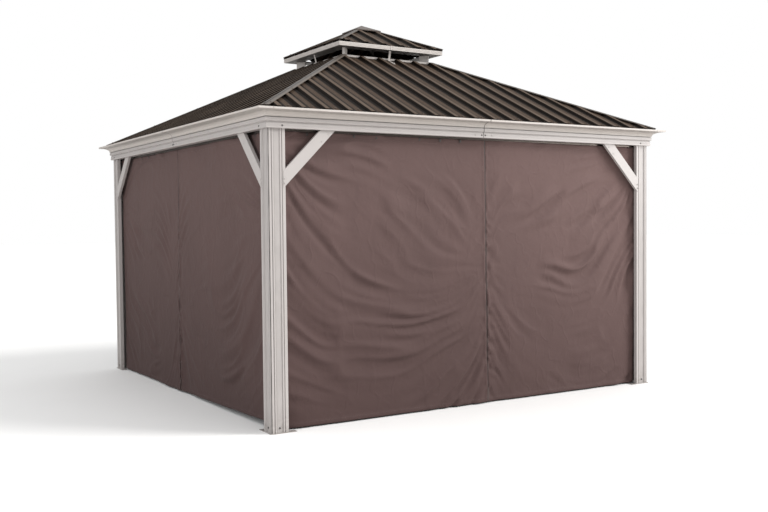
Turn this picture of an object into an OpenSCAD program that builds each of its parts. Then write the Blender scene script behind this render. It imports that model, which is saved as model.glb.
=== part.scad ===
// Square hard-top gazebo: four fluted corner posts, a moulded header ring, a ribbed
// steel hip roof with a raised vent cupola, and fabric curtains that zip together.
// Sizes are in millimetres, +Z is up, and the front faces -Y.
// The origin is at ground level in the middle of the plan. Every side and corner is
// the front side or the front left corner, carried round by quarter turns.

/* [Overall] */
// Width and depth over the outer faces of the corner posts
frame_w = 3446; // [2600:1:4600]
// Height of the underside of the headers above the ground
head_h = 1976; // [1700:1:2600]
// Wall thickness of the rolled posts, headers and braces
wall = 2; // [1:0.1:2.5]

/* [Posts] */
// Width of each wing of an L-shaped corner post
wing_w = 121; // [105:1:160]
// Thickness of a wing
wing_t = 30; // [24:1:45]
// Depth of the grooves rolled into a wing's face
flute_depth = 5; // [2:0.5:6]
// Plain band along each edge of a wing
band_w = 20; // [16:1:24]
// Width of the narrow groove beside each band
groove_w = 7; // [4:1:9]
// Raised bead between the narrow groove and the wide one
bead_w = 9; // [5:1:10]
// Slope of the groove sides, across the face
draft = 1.5; // [0.5:0.5:2]
// Notch along the outer corner of a post
notch = 4; // [2:0.5:6]

/* [Foot plates] */
// Thickness of a foot plate
plate_t = 4; // [3:0.5:8]
// Ledge of a foot plate around the post
plate_lip = 8; // [4:1:14]
// Length of a foot plate past the end of each wing
plate_arm = 58; // [40:1:80]
// Radius of the anchor hole in each arm
anchor_r = 6; // [4:0.5:8]

/* [Braces] */
// Distance from the inside corner to the near edge of a brace
brace_near = 260; // [180:1:300]
// Distance from the inside corner to the far edge of a brace
brace_far = 370; // [340:1:480]
// Depth of a brace, through the frame
brace_t = 22; // [15:1:22]
// Overlap of a brace's skin on the post
brace_lap = 14; // [6:1:18]

/* [Headers] */
// Height of the header section
header_h = 72; // [66:1:110]
// Projection of the fascia band past the posts
fascia_out = 20; // [12:1:30]
// Height of the fascia band
fascia_h = 34; // [24:1:38]
// Projection of the rounded band above the fascia
bead_out = 26; // [22:1:36]
// Height of the crown moulding
crown_h = 52; // [50:1:90]
// Projection of the crown's lip past the posts
crown_out = 107; // [90:1:140]
// Height of the crown's lip
lip_h = 13; // [8:1:18]
// Length of a crown corner piece along the lip
corner_len = 100; // [80:1:160]
// Gap at the butt joints
joint_gap = 3; // [1:0.5:4]
// Length of the splice plate behind each header joint
splice_len = 160; // [100:1:240]

/* [Roof] */
// Pitch of the main roof, in degrees
roof_pitch = 25.4; // [18:0.1:32]
// Reach of the roof sheets past the posts
eave_out = 45; // [30:1:60]
// Thickness of the roof sheets
sheet_t = 2; // [1:0.5:3]
// Spacing of the ribs
rib_pitch = 175; // [120:1:250]
// Width of a rib at its foot
rib_foot = 62; // [40:1:80]
// Width of a rib on top
rib_top = 34; // [16:1:38]
// Height of a rib above the sheet's underside
rib_h = 18; // [10:1:26]
// Width of each leaf of a hip cap
hip_leaf = 29; // [20:1:60]
// Thickness of the hip caps
hip_t = 2; // [1:0.5:3]
// Width of the rafters
rafter_w = 40; // [30:1:60]
// Depth of the rafters
rafter_h = 50; // [46:1:80]

/* [Vent] */
// Half width of the opening at the top edge of the main roof sheets
vent_half = 440; // [360:1:560]
// Width of the ring frame's flat top
ring_w = 80; // [60:1:90]
// Height of the ring frame
ring_h = 58; // [56:1:90]
// Overlap of the roof sheets on the ring frame
ring_lap = 30; // [15:1:32]
// Height of the ring's upstand above the roof sheet's underside
upstand_h = 18; // [8:1:30]
// Thickness of the upstand
upstand_t = 4; // [2:0.5:5]

/* [Cupola] */
// Overhang of the cupola's fascia past the vent's edge
cupola_over = 71; // [50:1:120]
// Height of the cupola's fascia
cupola_fascia_h = 33; // [25:1:50]
// Height of the cupola's eave above the vent edge
cupola_lift = 77; // [60:1:120]
// Pitch of the cupola roof, in degrees
cupola_pitch = 24.4; // [18:0.1:34]
// Thickness of the cupola's fascia tray and straps
plate_metal = 3; // [2:0.5:4]
// Width of a cupola corner support, along the diagonal
support_w = 80; // [50:1:100]
// Thickness of a cupola corner support
support_t = 20; // [12:1:36]
// Width of the flat straps in the middle of each side
strap_w = 18; // [12:1:30]
// Section of the cupola's rafters
cupola_bar = 25; // [18:1:32]
// Width of each leaf of a cupola hip cap
cupola_leaf = 21; // [16:1:40]
// Half width of the opening under the apex cap
cap_half = 122; // [90:1:160]
// Thickness of the apex cap's edge
cap_wall = 3; // [2:0.5:5]
// Height of the apex cap's edge
cap_edge = 8; // [4:1:14]

/* [Curtains] */
// Distance from the post faces to the middle of the curtain plane
curtain_in = 52; // [48:1:70]
// Thickness of the space that the folds take up
curtain_t = 28; // [16:1:32]
// Height of the hem above the ground
hem_h = 12; // [6:1:60]
// Distance of the front and back zips from the middle, towards the right from outside
zip_front = 71; // [0:1:150]
// Distance of the side zips from the middle, towards the left from outside
zip_side = 109; // [0:1:150]
// Distance from the post's corner to a curtain's edge
curtain_edge = 70; // [69:1:90]
// Gap between two curtains at the zip
zip_gap = 6; // [4:1:12]
// Width of the curtain rail
rail_w = 20; // [16:1:26]
// Height of the curtain rail
rail_h = 16; // [12:1:22]
// Width of the slot under the curtain rail
rail_slot = 6; // [4:1:9]

/* [Hidden] */
$fn = 48;

half = frame_w / 2;
reach = frame_w;
lip_top = head_h + header_h + crown_h;
eave_half = half + eave_out;

// The main roof sheets lie on this plane with their undersides
function roof_z(from_middle) = lip_top + (eave_half - from_middle) * tan(roof_pitch);
roof_len = (eave_half - vent_half) / cos(roof_pitch);

ring_out = vent_half + ring_lap;
ring_in = ring_out - ring_w;
ring_top = roof_z(ring_out);
upstand_half = vent_half - 2;
upstand_top = roof_z(vent_half) + upstand_h;

cupola_half = vent_half + cupola_over;
cupola_base = roof_z(vent_half) + cupola_lift;
cupola_eave = cupola_base + cupola_fascia_h;
cupola_eave_half = cupola_half - plate_metal / 2;
cupola_open = 70;
function cupola_z(from_middle) =
    cupola_eave + (cupola_eave_half - from_middle) * tan(cupola_pitch);
cupola_len = (cupola_eave_half - cupola_open) / cos(cupola_pitch);
support_half = upstand_half - upstand_t - 2;

// Quarter turn number k: 0 front, 1 right, 2 back, 3 left
module turned(k) {
    rotate([0, 0, 90 * k]) children();
}

module all_round() {
    for (k = [0 : 3]) turned(k) children();
}

// Keeps what lies in the front quarter of the plan, between the two diagonals
module front_quarter(gap = 0) {
    intersection() {
        children();
        linear_extrude(2 * reach) polygon([[0, -gap], [-reach, -gap - reach], [reach, -gap - reach]]);
    }
}

// A section drawn as (distance outwards, height), run along the front side
module front_run(from_x, to_x, out_from) {
    translate([to_x, -out_from, 0]) rotate([90, 0, -90])
        linear_extrude(to_x - from_x) children();
}

// ---- Corner posts ----

fluted_at = band_w + groove_w + bead_w;
flutes = [
    [band_w, groove_w],
    [fluted_at, wing_w - 2 * fluted_at],
    [wing_w - band_w - groove_w, groove_w],
];

function wing_face() = concat(
    [[notch, 0]],
    [for (f = flutes) each [
        [f[0], 0], [f[0] + draft, flute_depth],
        [f[0] + f[1] - draft, flute_depth], [f[0] + f[1], 0]
    ]],
    [[wing_w, 0]]
);

function swapped(points) = [for (i = [len(points) - 1 : -1 : 0]) [points[i][1], points[i][0]]];

// Section of a post, with its outer corner at the origin
module post_section() {
    skin = max(flute_depth, notch) + wall;
    difference() {
        polygon(concat(
            [[notch, notch]], wing_face(),
            [[wing_w, wing_t], [wing_t, wing_t], [wing_t, wing_w]], swapped(wing_face())
        ));
        polygon([
            [skin, skin], [wing_w - wall, skin], [wing_w - wall, wing_t - wall],
            [wing_t - wall, wing_t - wall], [wing_t - wall, wing_w - wall], [skin, wing_w - wall]
        ]);
    }
}

module corner_post() {
    translate([-half, -half, plate_t]) linear_extrude(head_h - plate_t) post_section();
}

module post_front_left() {
    color("Gainsboro") corner_post();
}

module post_front_right() {
    color("Gainsboro") turned(1) corner_post();
}

module post_back_right() {
    color("Gainsboro") turned(2) corner_post();
}

module post_back_left() {
    color("Gainsboro") turned(3) corner_post();
}

// ---- Foot plates ----

plate_reach = wing_w + plate_arm;
anchor_along = wing_w + plate_arm / 2;
anchor_in = wing_t / 2;

module foot_plate() {
    inner = wing_t + plate_lip;
    translate([-half, -half, 0]) linear_extrude(plate_t) difference() {
        polygon([
            [-plate_lip, -plate_lip], [plate_reach, -plate_lip], [plate_reach, inner],
            [inner, inner], [inner, plate_reach], [-plate_lip, plate_reach]
        ]);
        translate([anchor_along, anchor_in]) circle(anchor_r);
        translate([anchor_in, anchor_along]) circle(anchor_r);
    }
}

module foot_plates() {
    color("DarkGray") all_round() foot_plate();
}

// ---- Corner braces ----

// A band at 45 degrees whose edges cut the post and the header this far from the corner
module brace_band(near, far, from_x, top_z) {
    rise = wing_w - from_x;
    polygon([
        [from_x, top_z - near - rise], [wing_w + near, top_z],
        [wing_w + far, top_z], [from_x, top_z - far - rise]
    ]);
}

// The brace at the left end of the front side: a tube whose face laps the post
module brace() {
    slant = wall * sqrt(2);
    translate([-half, -half + brace_t - wall, 0]) rotate([90, 0, 0]) {
        difference() {
            linear_extrude(brace_t - wall) brace_band(brace_near, brace_far, wing_w, head_h);
            translate([0, 0, wall]) linear_extrude(brace_t)
                brace_band(brace_near + slant, brace_far - slant, wing_w - 1, head_h + 1);
        }
        translate([0, 0, brace_t - wall]) linear_extrude(wall)
            brace_band(brace_near, brace_far, wing_w - brace_lap, head_h);
    }
}

module side_braces() {
    brace();
    mirror([1, 0, 0]) brace();
}

module braces_front() {
    color("Gainsboro") side_braces();
}

module braces_right() {
    color("Gainsboro") turned(1) side_braces();
}

module braces_back() {
    color("Gainsboro") turned(2) side_braces();
}

module braces_left() {
    color("Gainsboro") turned(3) side_braces();
}

// ---- Headers and crown ----

// Section of a header as (outwards from the post face, height above its underside)
module header_section() {
    step = 2;
    neck = fascia_out - 6;
    top_bead = header_h - 4;
    difference() {
        polygon([
            [-wing_t, 0], [fascia_out, 0], [fascia_out, fascia_h / 2 - step],
            [fascia_out - step, fascia_h / 2], [fascia_out - step, fascia_h],
            [neck, fascia_h + step], [neck, fascia_h + 3 * step],
            [bead_out, fascia_h + 5 * step], [bead_out, top_bead],
            [neck, header_h], [-wing_t, header_h]
        ]);
        translate([-wing_t + wall, wall])
            square([wing_t + neck - 2 * wall, header_h - 2 * wall]);
    }
}

module front_header_half() {
    front_quarter() translate([0, 0, head_h])
        front_run(-half - crown_out, -joint_gap / 2, half) header_section();
}

module side_header() {
    front_header_half();
    mirror([1, 0, 0]) front_header_half();
}

module header_front() {
    color("Gainsboro") side_header();
}

module header_right() {
    color("Gainsboro") turned(1) side_header();
}

module header_back() {
    color("Gainsboro") turned(2) side_header();
}

module header_left() {
    color("Gainsboro") turned(3) side_header();
}

splice_t = 3;
rail_flange = 28;

// Flat plate behind the middle joint of a header
module splice() {
    low = head_h + rail_flange + 4;
    high = head_h + header_h - 6;
    translate([-splice_len / 2, -half + wing_t, low]) cube([splice_len, splice_t, high - low]);
}

module header_splices() {
    color("Silver") all_round() splice();
}

// Outline of the crown: a hollow curve that sweeps out to a square lip
function crown_outline(inset) = let (
    foot = bead_out + 2,
    toe = 5,
    tip = crown_out - 9,
    under = crown_h - lip_h - 1
) concat(
    [[-wing_t + inset, inset], [foot - inset, inset]],
    [for (a = [0 : 9 : 90]) [
        tip - (tip - foot + inset) * cos(a), toe + (under - toe + inset) * sin(a)
    ]],
    [
        [crown_out - inset, crown_h - lip_h + inset], [crown_out - inset, crown_h - inset],
        [-wing_t + inset, crown_h - inset]
    ]
);

module crown_ring_side() {
    front_quarter() translate([0, 0, head_h + header_h])
        front_run(-half - crown_out, half + crown_out, half) difference() {
            polygon(crown_outline(0));
            polygon(crown_outline(wall));
        }
}

// Round zone about the tip of a crown corner, where the corner piece lies
module corner_zone(grow) {
    tip = half + crown_out;
    translate([-tip, -tip, head_h]) cylinder(r = corner_len + grow, h = header_h + 2 * crown_h);
}

module crown_half() {
    intersection() {
        difference() {
            crown_ring_side();
            corner_zone(joint_gap);
        }
        translate([-reach, -reach, 0]) cube([reach - joint_gap / 2, reach, 2 * reach]);
    }
}

module side_crown() {
    crown_half();
    mirror([1, 0, 0]) crown_half();
}

module crown_front() {
    color("WhiteSmoke") side_crown();
}

module crown_right() {
    color("WhiteSmoke") turned(1) side_crown();
}

module crown_back() {
    color("WhiteSmoke") turned(2) side_crown();
}

module crown_left() {
    color("WhiteSmoke") turned(3) side_crown();
}

module crown_corner() {
    intersection() {
        union() {
            crown_ring_side();
            turned(3) crown_ring_side();
        }
        corner_zone(0);
    }
}

module crown_corners() {
    color("WhiteSmoke") all_round() crown_corner();
}

// ---- Curtain rails and curtains ----

rail_low = head_h - rail_h + 4;

// Section of a rail as (outwards from the post face, height above the rail's underside)
module rail_section() {
    difference() {
        union() {
            translate([-curtain_in - rail_w / 2, 0]) square([rail_w, rail_h]);
            translate([-curtain_in, rail_h - wall]) square([curtain_in - wing_t, wall]);
            translate([-wing_t - wall, rail_h - wall]) square([wall, rail_flange]);
        }
        translate([-curtain_in - rail_w / 2 + wall, wall])
            square([rail_w - 2 * wall, rail_h - 2 * wall]);
        translate([-curtain_in - rail_slot / 2, -1]) square([rail_slot, wall + 2]);
    }
}

module rail() {
    run = half - curtain_in - rail_w / 2 - wing_t / 2;
    translate([0, 0, rail_low]) front_run(-run, run, half) rail_section();
}

module curtain_rails() {
    color("Silver") all_round() rail();
}

curtain_top = rail_low - 0.3;

// Closed slab that a hanging curtain fills
module curtain_slab(from_x, to_x) {
    translate([from_x, -half + curtain_in - curtain_t / 2, hem_h])
        cube([to_x - from_x, curtain_t, curtain_top - hem_h]);
}

// The curtains of a side whose zip lies this far right of its middle, seen from outside
module left_curtain(zip_at) {
    curtain_slab(-half + curtain_edge, zip_at - zip_gap / 2);
}

module right_curtain(zip_at) {
    curtain_slab(zip_at + zip_gap / 2, half - curtain_edge);
}

module curtain_front_left() {
    color("RosyBrown") left_curtain(zip_front);
}

module curtain_front_right() {
    color("RosyBrown") right_curtain(zip_front);
}

module curtain_right_front() {
    color("RosyBrown") turned(1) left_curtain(-zip_side);
}

module curtain_right_back() {
    color("RosyBrown") turned(1) right_curtain(-zip_side);
}

module curtain_back_right() {
    color("RosyBrown") turned(2) left_curtain(zip_front);
}

module curtain_back_left() {
    color("RosyBrown") turned(2) right_curtain(zip_front);
}

module curtain_left_back() {
    color("RosyBrown") turned(3) left_curtain(-zip_side);
}

module curtain_left_front() {
    color("RosyBrown") turned(3) right_curtain(-zip_side);
}

// ---- Ribbed roof sheets ----

// Section across a ribbed sheet, flat underneath its ribs' hollows
function rib_centres(half_run) =
    [for (i = [-floor(half_run / rib_pitch) - 1 : floor(half_run / rib_pitch)]) (i + 0.5) * rib_pitch];

function sheet_top(half_run) = [for (c = rib_centres(half_run)) each [
    [c - rib_foot / 2, sheet_t], [c - rib_top / 2, rib_h],
    [c + rib_top / 2, rib_h], [c + rib_foot / 2, sheet_t]
]];

function sheet_under(half_run) = [for (c = rib_centres(half_run)) each [
    [c - rib_foot / 2 + sheet_t, 0], [c - rib_top / 2 + sheet_t / 2, rib_h - sheet_t],
    [c + rib_top / 2 - sheet_t / 2, rib_h - sheet_t], [c + rib_foot / 2 - sheet_t, 0]
]];

function reversed(points) = [for (i = [len(points) - 1 : -1 : 0]) points[i]];

module sheet_section(half_run) {
    end = (floor(half_run / rib_pitch) + 1) * rib_pitch;
    polygon(concat(
        [[-end, 0], [-end, sheet_t]], sheet_top(half_run),
        [[end, sheet_t], [end, 0]], reversed(sheet_under(half_run))
    ));
}

// Frame of a slope: its lower edge on X, its run up +Y, its outside +Z
module on_slope(edge_half, edge_z, pitch) {
    translate([0, -edge_half, edge_z]) rotate([pitch, 0, 0]) children();
}

module slope_sheet(edge_half, edge_z, pitch, run) {
    front_quarter(hip_t) on_slope(edge_half, edge_z, pitch)
        translate([0, run, 0]) rotate([90, 0, 0]) linear_extrude(run) sheet_section(edge_half);
}

module roof_slope() {
    slope_sheet(eave_half, lip_top, roof_pitch, roof_len);
}

module roof_front() {
    color("DimGray") roof_slope();
}

module roof_right() {
    color("DimGray") turned(1) roof_slope();
}

module roof_back() {
    color("DimGray") turned(2) roof_slope();
}

module roof_left() {
    color("DimGray") turned(3) roof_slope();
}

// One leaf of a hip cap lies on the ribs of the front slope, beside the left hip
module hip_leaf_plate(edge_half, edge_z, pitch, run, leaf) {
    intersection() {
        on_slope(edge_half, edge_z, pitch) translate([-reach, 0, rib_h]) cube([reach, run, hip_t]);
        rotate([0, 0, 45]) translate([-2 * reach, -leaf, 0]) cube([2 * reach, leaf, 2 * reach]);
    }
}

module hip_cap(edge_half, edge_z, pitch, run, leaf) {
    hip_leaf_plate(edge_half, edge_z, pitch, run, leaf);
    mirror([1, -1, 0]) hip_leaf_plate(edge_half, edge_z, pitch, run, leaf);
}

module hip_caps() {
    color("Gray") all_round() hip_cap(eave_half, lip_top, roof_pitch, roof_len, hip_leaf);
}

// ---- Rafters and vent ring ----

// Bar under the front left hip, its top planed to both slopes
module hip_bar(edge_half, edge_z, pitch, width, depth) {
    hip_pitch = atan(tan(pitch) / sqrt(2));
    fall = tan(pitch) / sqrt(2) * cos(hip_pitch) * width / 2;
    translate([-edge_half, -edge_half, edge_z]) rotate([0, 0, 45]) rotate([0, -hip_pitch, 0])
        rotate([90, 0, 90]) linear_extrude(reach) polygon([
            [0, 0], [width / 2, -fall], [width / 2, -depth], [-width / 2, -depth], [-width / 2, -fall]
        ]);
}

// Keeps what lies between the vent ring and the inner faces of the headers
module rafter_zone() {
    inner = half - wing_t;
    difference() {
        intersection() {
            children();
            translate([-inner, -inner, 0]) cube([inner, inner, 2 * reach]);
        }
        translate([-ring_out, -ring_out, 0]) cube([2 * ring_out, 2 * ring_out, 2 * reach]);
    }
}

module hip_rafter() {
    rafter_zone() hip_bar(eave_half, lip_top, roof_pitch, rafter_w, rafter_h);
}

module hip_rafters() {
    color("LightGray") all_round() hip_rafter();
}

module mid_rafter() {
    inner = half - wing_t;
    depth = rafter_h / cos(roof_pitch);
    translate([rafter_w / 2, 0, 0]) rotate([90, 0, -90]) linear_extrude(rafter_w) polygon([
        [inner, roof_z(inner)], [ring_out, roof_z(ring_out)],
        [ring_out, roof_z(ring_out) - depth], [inner, roof_z(inner) - depth]
    ]);
}

module mid_rafters() {
    color("LightGray") all_round() mid_rafter();
}

// Square frame with these half widths, from z_low to z_high
module square_ring(out_half, in_half, z_low, z_high) {
    difference() {
        translate([-out_half, -out_half, z_low])
            cube([2 * out_half, 2 * out_half, z_high - z_low]);
        translate([-in_half, -in_half, z_low - 1])
            cube([2 * in_half, 2 * in_half, z_high - z_low + 2]);
    }
}

module vent_ring() {
    color("Gainsboro") union() {
        square_ring(ring_out, ring_in, ring_top - ring_h, ring_top);
        square_ring(upstand_half, upstand_half - upstand_t, ring_top - 1, upstand_top);
    }
}

// ---- Cupola ----

// Tube on the diagonal that carries the front left corner of the cupola
module corner_support() {
    tip = support_half * sqrt(2) - support_t / 2;
    rotate([0, 0, -135]) translate([tip - support_w, -support_t / 2, ring_top])
        linear_extrude(cupola_base - ring_top) difference() {
            square([support_w, support_t]);
            translate([wall, wall]) square([support_w - 2 * wall, support_t - 2 * wall]);
        }
}

// Flat strap in the middle of a side, leaning out from the roof sheet to the soffit
module strap() {
    foot_half = vent_half + 10;
    head_half = foot_half + 20;
    foot_z = roof_z(foot_half) + sheet_t / cos(roof_pitch);
    translate([strap_w / 2, 0, 0]) rotate([90, 0, -90]) linear_extrude(strap_w) polygon([
        [foot_half, foot_z], [foot_half + plate_metal, foot_z - plate_metal * tan(roof_pitch)],
        [head_half + plate_metal, cupola_base], [head_half, cupola_base]
    ]);
}

module cupola_posts() {
    color("Gainsboro") all_round() {
        corner_support();
        strap();
    }
}

// Tray with an upturned edge that forms the fascia, open in the middle
module cupola_fascia() {
    color("WhiteSmoke") difference() {
        square_ring(cupola_half, ring_in, cupola_base, cupola_eave);
        translate([plate_metal - cupola_half, plate_metal - cupola_half, cupola_base + plate_metal])
            cube([2 * (cupola_half - plate_metal), 2 * (cupola_half - plate_metal), reach]);
    }
}

module cupola_slope() {
    slope_sheet(cupola_eave_half, cupola_eave, cupola_pitch, cupola_len);
}

module cupola_roof_front() {
    color("DimGray") cupola_slope();
}

module cupola_roof_right() {
    color("DimGray") turned(1) cupola_slope();
}

module cupola_roof_back() {
    color("DimGray") turned(2) cupola_slope();
}

module cupola_roof_left() {
    color("DimGray") turned(3) cupola_slope();
}

module cupola_hip_caps() {
    color("Gray") all_round()
        hip_cap(cupola_eave_half, cupola_eave, cupola_pitch, cupola_len, cupola_leaf);
}

// Four hip bars that meet under the apex
module cupola_rafters() {
    inner = cupola_half - plate_metal;
    color("LightGray") intersection() {
        union() {
            all_round() intersection() {
                hip_bar(cupola_eave_half, cupola_eave, cupola_pitch, cupola_bar, cupola_bar);
                translate([-inner, -inner, 0]) cube([inner, inner, 2 * reach]);
            }
        }
        translate([-inner, -inner, cupola_base + plate_metal])
            cube([2 * inner, 2 * inner, reach]);
    }
}

// Pyramid on a square foot
module pyramid(foot_half, foot_z, pitch) {
    translate([0, 0, foot_z]) intersection_for (k = [0 : 1]) turned(k)
        rotate([90, 0, 0]) linear_extrude(2 * foot_half, center = true)
            polygon([[-foot_half, 0], [foot_half, 0], [0, foot_half * tan(pitch)]]);
}

// Low pyramid over the open top of the cupola's sheets, seated on the hip caps
module apex_cap() {
    out_half = cap_half + cap_wall;
    foot_z = cupola_z(cap_half) + (rib_h + hip_t) / cos(cupola_pitch);
    color("DimGray") difference() {
        union() {
            translate([-out_half, -out_half, foot_z]) cube([2 * out_half, 2 * out_half, cap_edge]);
            pyramid(out_half, foot_z + cap_edge, cupola_pitch);
        }
        pyramid(cap_half, foot_z, cupola_pitch);
    }
}

post_front_left();
post_front_right();
post_back_right();
post_back_left();
foot_plates();
braces_front();
braces_right();
braces_back();
braces_left();
header_front();
header_right();
header_back();
header_left();
header_splices();
crown_front();
crown_right();
crown_back();
crown_left();
crown_corners();
curtain_rails();
curtain_front_left();
curtain_front_right();
curtain_right_front();
curtain_right_back();
curtain_back_right();
curtain_back_left();
curtain_left_back();
curtain_left_front();
roof_front();
roof_right();
roof_back();
roof_left();
hip_caps();
hip_rafters();
mid_rafters();
vent_ring();
cupola_posts();
cupola_fascia();
cupola_roof_front();
cupola_roof_right();
cupola_roof_back();
cupola_roof_left();
cupola_hip_caps();
cupola_rafters();
apex_cap();
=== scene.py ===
"""Finishes a square hard-top gazebo: paints its steel, fits its screws, clips and
trims, hangs its zipped curtains as simulated cloth, and sets it on a pale floor.

Lengths are in metres, +Z is up and the front faces -Y. Every side is worked out as
the front side and carried round by quarter turns: 0 front, 1 right, 2 back, 3 left.
"""

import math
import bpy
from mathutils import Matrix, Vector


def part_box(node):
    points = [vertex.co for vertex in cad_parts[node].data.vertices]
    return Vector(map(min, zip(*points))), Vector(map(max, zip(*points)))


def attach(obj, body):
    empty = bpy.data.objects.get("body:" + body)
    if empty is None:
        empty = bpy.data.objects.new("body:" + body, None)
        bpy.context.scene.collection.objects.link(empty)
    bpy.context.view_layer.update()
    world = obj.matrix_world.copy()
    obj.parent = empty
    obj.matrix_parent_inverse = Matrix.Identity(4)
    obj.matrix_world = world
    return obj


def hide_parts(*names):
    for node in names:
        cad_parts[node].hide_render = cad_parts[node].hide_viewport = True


bl_info = {
    "name": "Curtained Gazebo",
    "version": (1, 0, 0),
    "blender": (4, 5, 0),
    "location": "View3D > Sidebar > Gazebo",
    "description": "Paints a square hard-top gazebo, fits its screws and trims, and hangs "
    "its zipped curtains",
    "category": "Object",
}

import bpy
import numpy as np
from bpy.props import FloatProperty, FloatVectorProperty, IntProperty, PointerProperty
from mathutils import Matrix, Vector

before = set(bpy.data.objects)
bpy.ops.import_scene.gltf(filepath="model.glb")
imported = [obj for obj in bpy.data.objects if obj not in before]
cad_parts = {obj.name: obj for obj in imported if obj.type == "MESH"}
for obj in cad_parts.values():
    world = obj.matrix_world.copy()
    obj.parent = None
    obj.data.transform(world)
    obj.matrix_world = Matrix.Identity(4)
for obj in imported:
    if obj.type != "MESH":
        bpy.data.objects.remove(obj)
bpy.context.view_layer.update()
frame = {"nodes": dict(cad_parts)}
NODES = frame["nodes"]


def srgb(red, green, blue):
    """A screen colour out of 255 as the linear one that Blender keeps."""
    return tuple(
        c / 12.92 if c <= 0.04045 else ((c + 0.055) / 1.055) ** 2.4
        for c in (red / 255, green / 255, blue / 255)
    )


def tinted(colour, *factors):
    """A colour made darker or lighter, evenly or channel by channel."""
    factors = factors if len(factors) > 1 else factors * 3
    return tuple(min(1, c * f) for c, f in zip(colour, factors))


# ---- Places read from the frame ----


def turned(points, quarters):
    """Points of the front side carried round by quarter turns."""
    cos, sin = ((1, 0), (0, 1), (-1, 0), (0, -1))[quarters % 4]
    out = np.array(points, float)
    x, y = out[..., 0].copy(), out[..., 1].copy()
    out[..., 0], out[..., 1] = cos * x - sin * y, sin * x + cos * y
    return out


def side_box(node, quarters):
    """A node's lowest and highest corners, with its side turned back to the front."""
    ends = turned([list(c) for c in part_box(node)], -quarters)
    return ends.min(0), ends.max(0)


def all_round(points):
    """Points of the front side repeated on all four sides."""
    return np.concatenate([turned(points, k) for k in range(4)])


POST_LOW, POST_HIGH = side_box("post_front_left", 0)
HALF = -POST_LOW[0]
WING = POST_HIGH[0] - POST_LOW[0]
HEAD = POST_HIGH[2]
PLATE_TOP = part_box("foot_plates")[1].z
HEADER_LOW, HEADER_HIGH = side_box("header_front", 0)
LIP_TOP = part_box("crown_corners")[1].z
RAIL_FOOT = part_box("curtain_rails")[0].z
FASCIA_LOW, FASCIA_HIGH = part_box("cupola_fascia")

# A curtain's node, its side's quarter turns, the end of the side it starts from, and
# the heights at its outer edge and at its zip that its folds run between
PANELS = (
    ("curtain_front_left", 0, -1, (1.86, 1.02)),
    ("curtain_front_right", 0, 1, (1.84, 1.06)),
    ("curtain_right_front", 1, -1, (1.80, 0.94)),
    ("curtain_right_back", 1, 1, (1.66, 1.10)),
    ("curtain_back_right", 2, -1, (1.84, 0.98)),
    ("curtain_back_left", 2, 1, (1.70, 0.86)),
    ("curtain_left_back", 3, -1, (1.42, 0.80)),
    ("curtain_left_front", 3, 1, (1.34, 0.72)),
)

# Share of the fold depth on sides whose curtains hang flatter than the rest
CALM = {3: 0.6}


class Slope:
    """The plane of a sheet roof's front slope, from its lower edge up."""

    def __init__(self, node):
        low, high = side_box(node, 0)
        points = np.array([v.co for v in NODES[node].data.vertices])
        self.edge_half = -low[1]
        self.edge_z = low[2]
        top = points[points[:, 1] > high[1] - 0.002]
        self.top_half = -high[1]
        self.pitch = math.atan2(top[:, 2].min() - low[2], self.edge_half - self.top_half)
        self.rib = (high[2] - top[:, 2].min()) * math.cos(self.pitch)

    def at(self, along, half, above=0.0):
        """A point over the slope, this far from the middle of the plan."""
        z = self.edge_z + (self.edge_half - half) * math.tan(self.pitch)
        return (along, -half - above * math.sin(self.pitch), z + above * math.cos(self.pitch))

    @property
    def normal(self):
        return (0.0, -math.sin(self.pitch), math.cos(self.pitch))


MAIN = Slope("roof_front")
UPPER = Slope("cupola_roof_front")
# The roof sheets' ribs: from rib to rib, and their widths at the top and at the foot
RIB_PITCH, RIB_TOP, RIB_FOOT = 0.175, 0.034, 0.062
# Distances of the pencil grooves from the middle of a pan
PENCIL_AT = 0.010, 0.027
# Height of the gap between the roof sheets' pans and the hip caps
HIP_GAP = 0.0185


# ---- Settings ----


def a_colour(name, description, *screen):
    """A colour that a user may change, given as on a screen."""
    return FloatVectorProperty(
        name=name, description=description, subtype="COLOR", min=0, max=1, default=srgb(*screen)
    )


def a_length(name, description, least, most, default):
    """A length that a user may change, and the range that it keeps to."""
    return FloatProperty(
        name=name, description=description, unit="LENGTH", min=least, max=most, default=default
    )


class GazeboFinish(bpy.types.PropertyGroup):
    """Colours of the paints, metals and cloth"""

    frame: a_colour("Frame", "Powder coat of the posts, braces and headers", 180, 175, 173)
    crown: a_colour(
        "Crown", "Powder coat of the crown moulding and the cupola's fascia", 190, 184, 179
    )
    # This colour is also darkened to near black for the painted shade in grooves, steps and
    # undersides
    grime_and_shade: a_colour("Grime", "Dust and rain marks on the light paint", 112, 102, 92)
    roof: a_colour("Roof sheets", "Baked paint of the ribbed roof sheets", 68, 54, 44)
    # This colour is also the painted highlight on the roof sheets' rib tops and, darkened, the
    # painted shade along the hip caps
    roof_dust_and_painted_light: a_colour("Roof dust", "Dust that rain has combed down the roof sheets", 110, 99, 89)
    caps: a_colour("Hip caps", "Baked paint of the hip caps", 84, 75, 67)
    steel: a_colour("Zinc", "Zinc coating of hidden bars, plates and bolts", 150, 148, 146)
    # The rails are kept dark as painted shade: their colour stands for the shadow under the header
    rail_colour_dark_as_shade: a_colour("Rails", "Bare aluminium of the curtain rails", 84, 78, 74)
    cloth: a_colour("Curtain cloth", "Coated polyester of the curtains", 94, 76, 74)
    zip: a_colour("Zip", "Tape and teeth of the zips", 72, 59, 57)
    thread: a_colour("Thread", "Sewing thread of the hems", 88, 72, 70)


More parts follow.
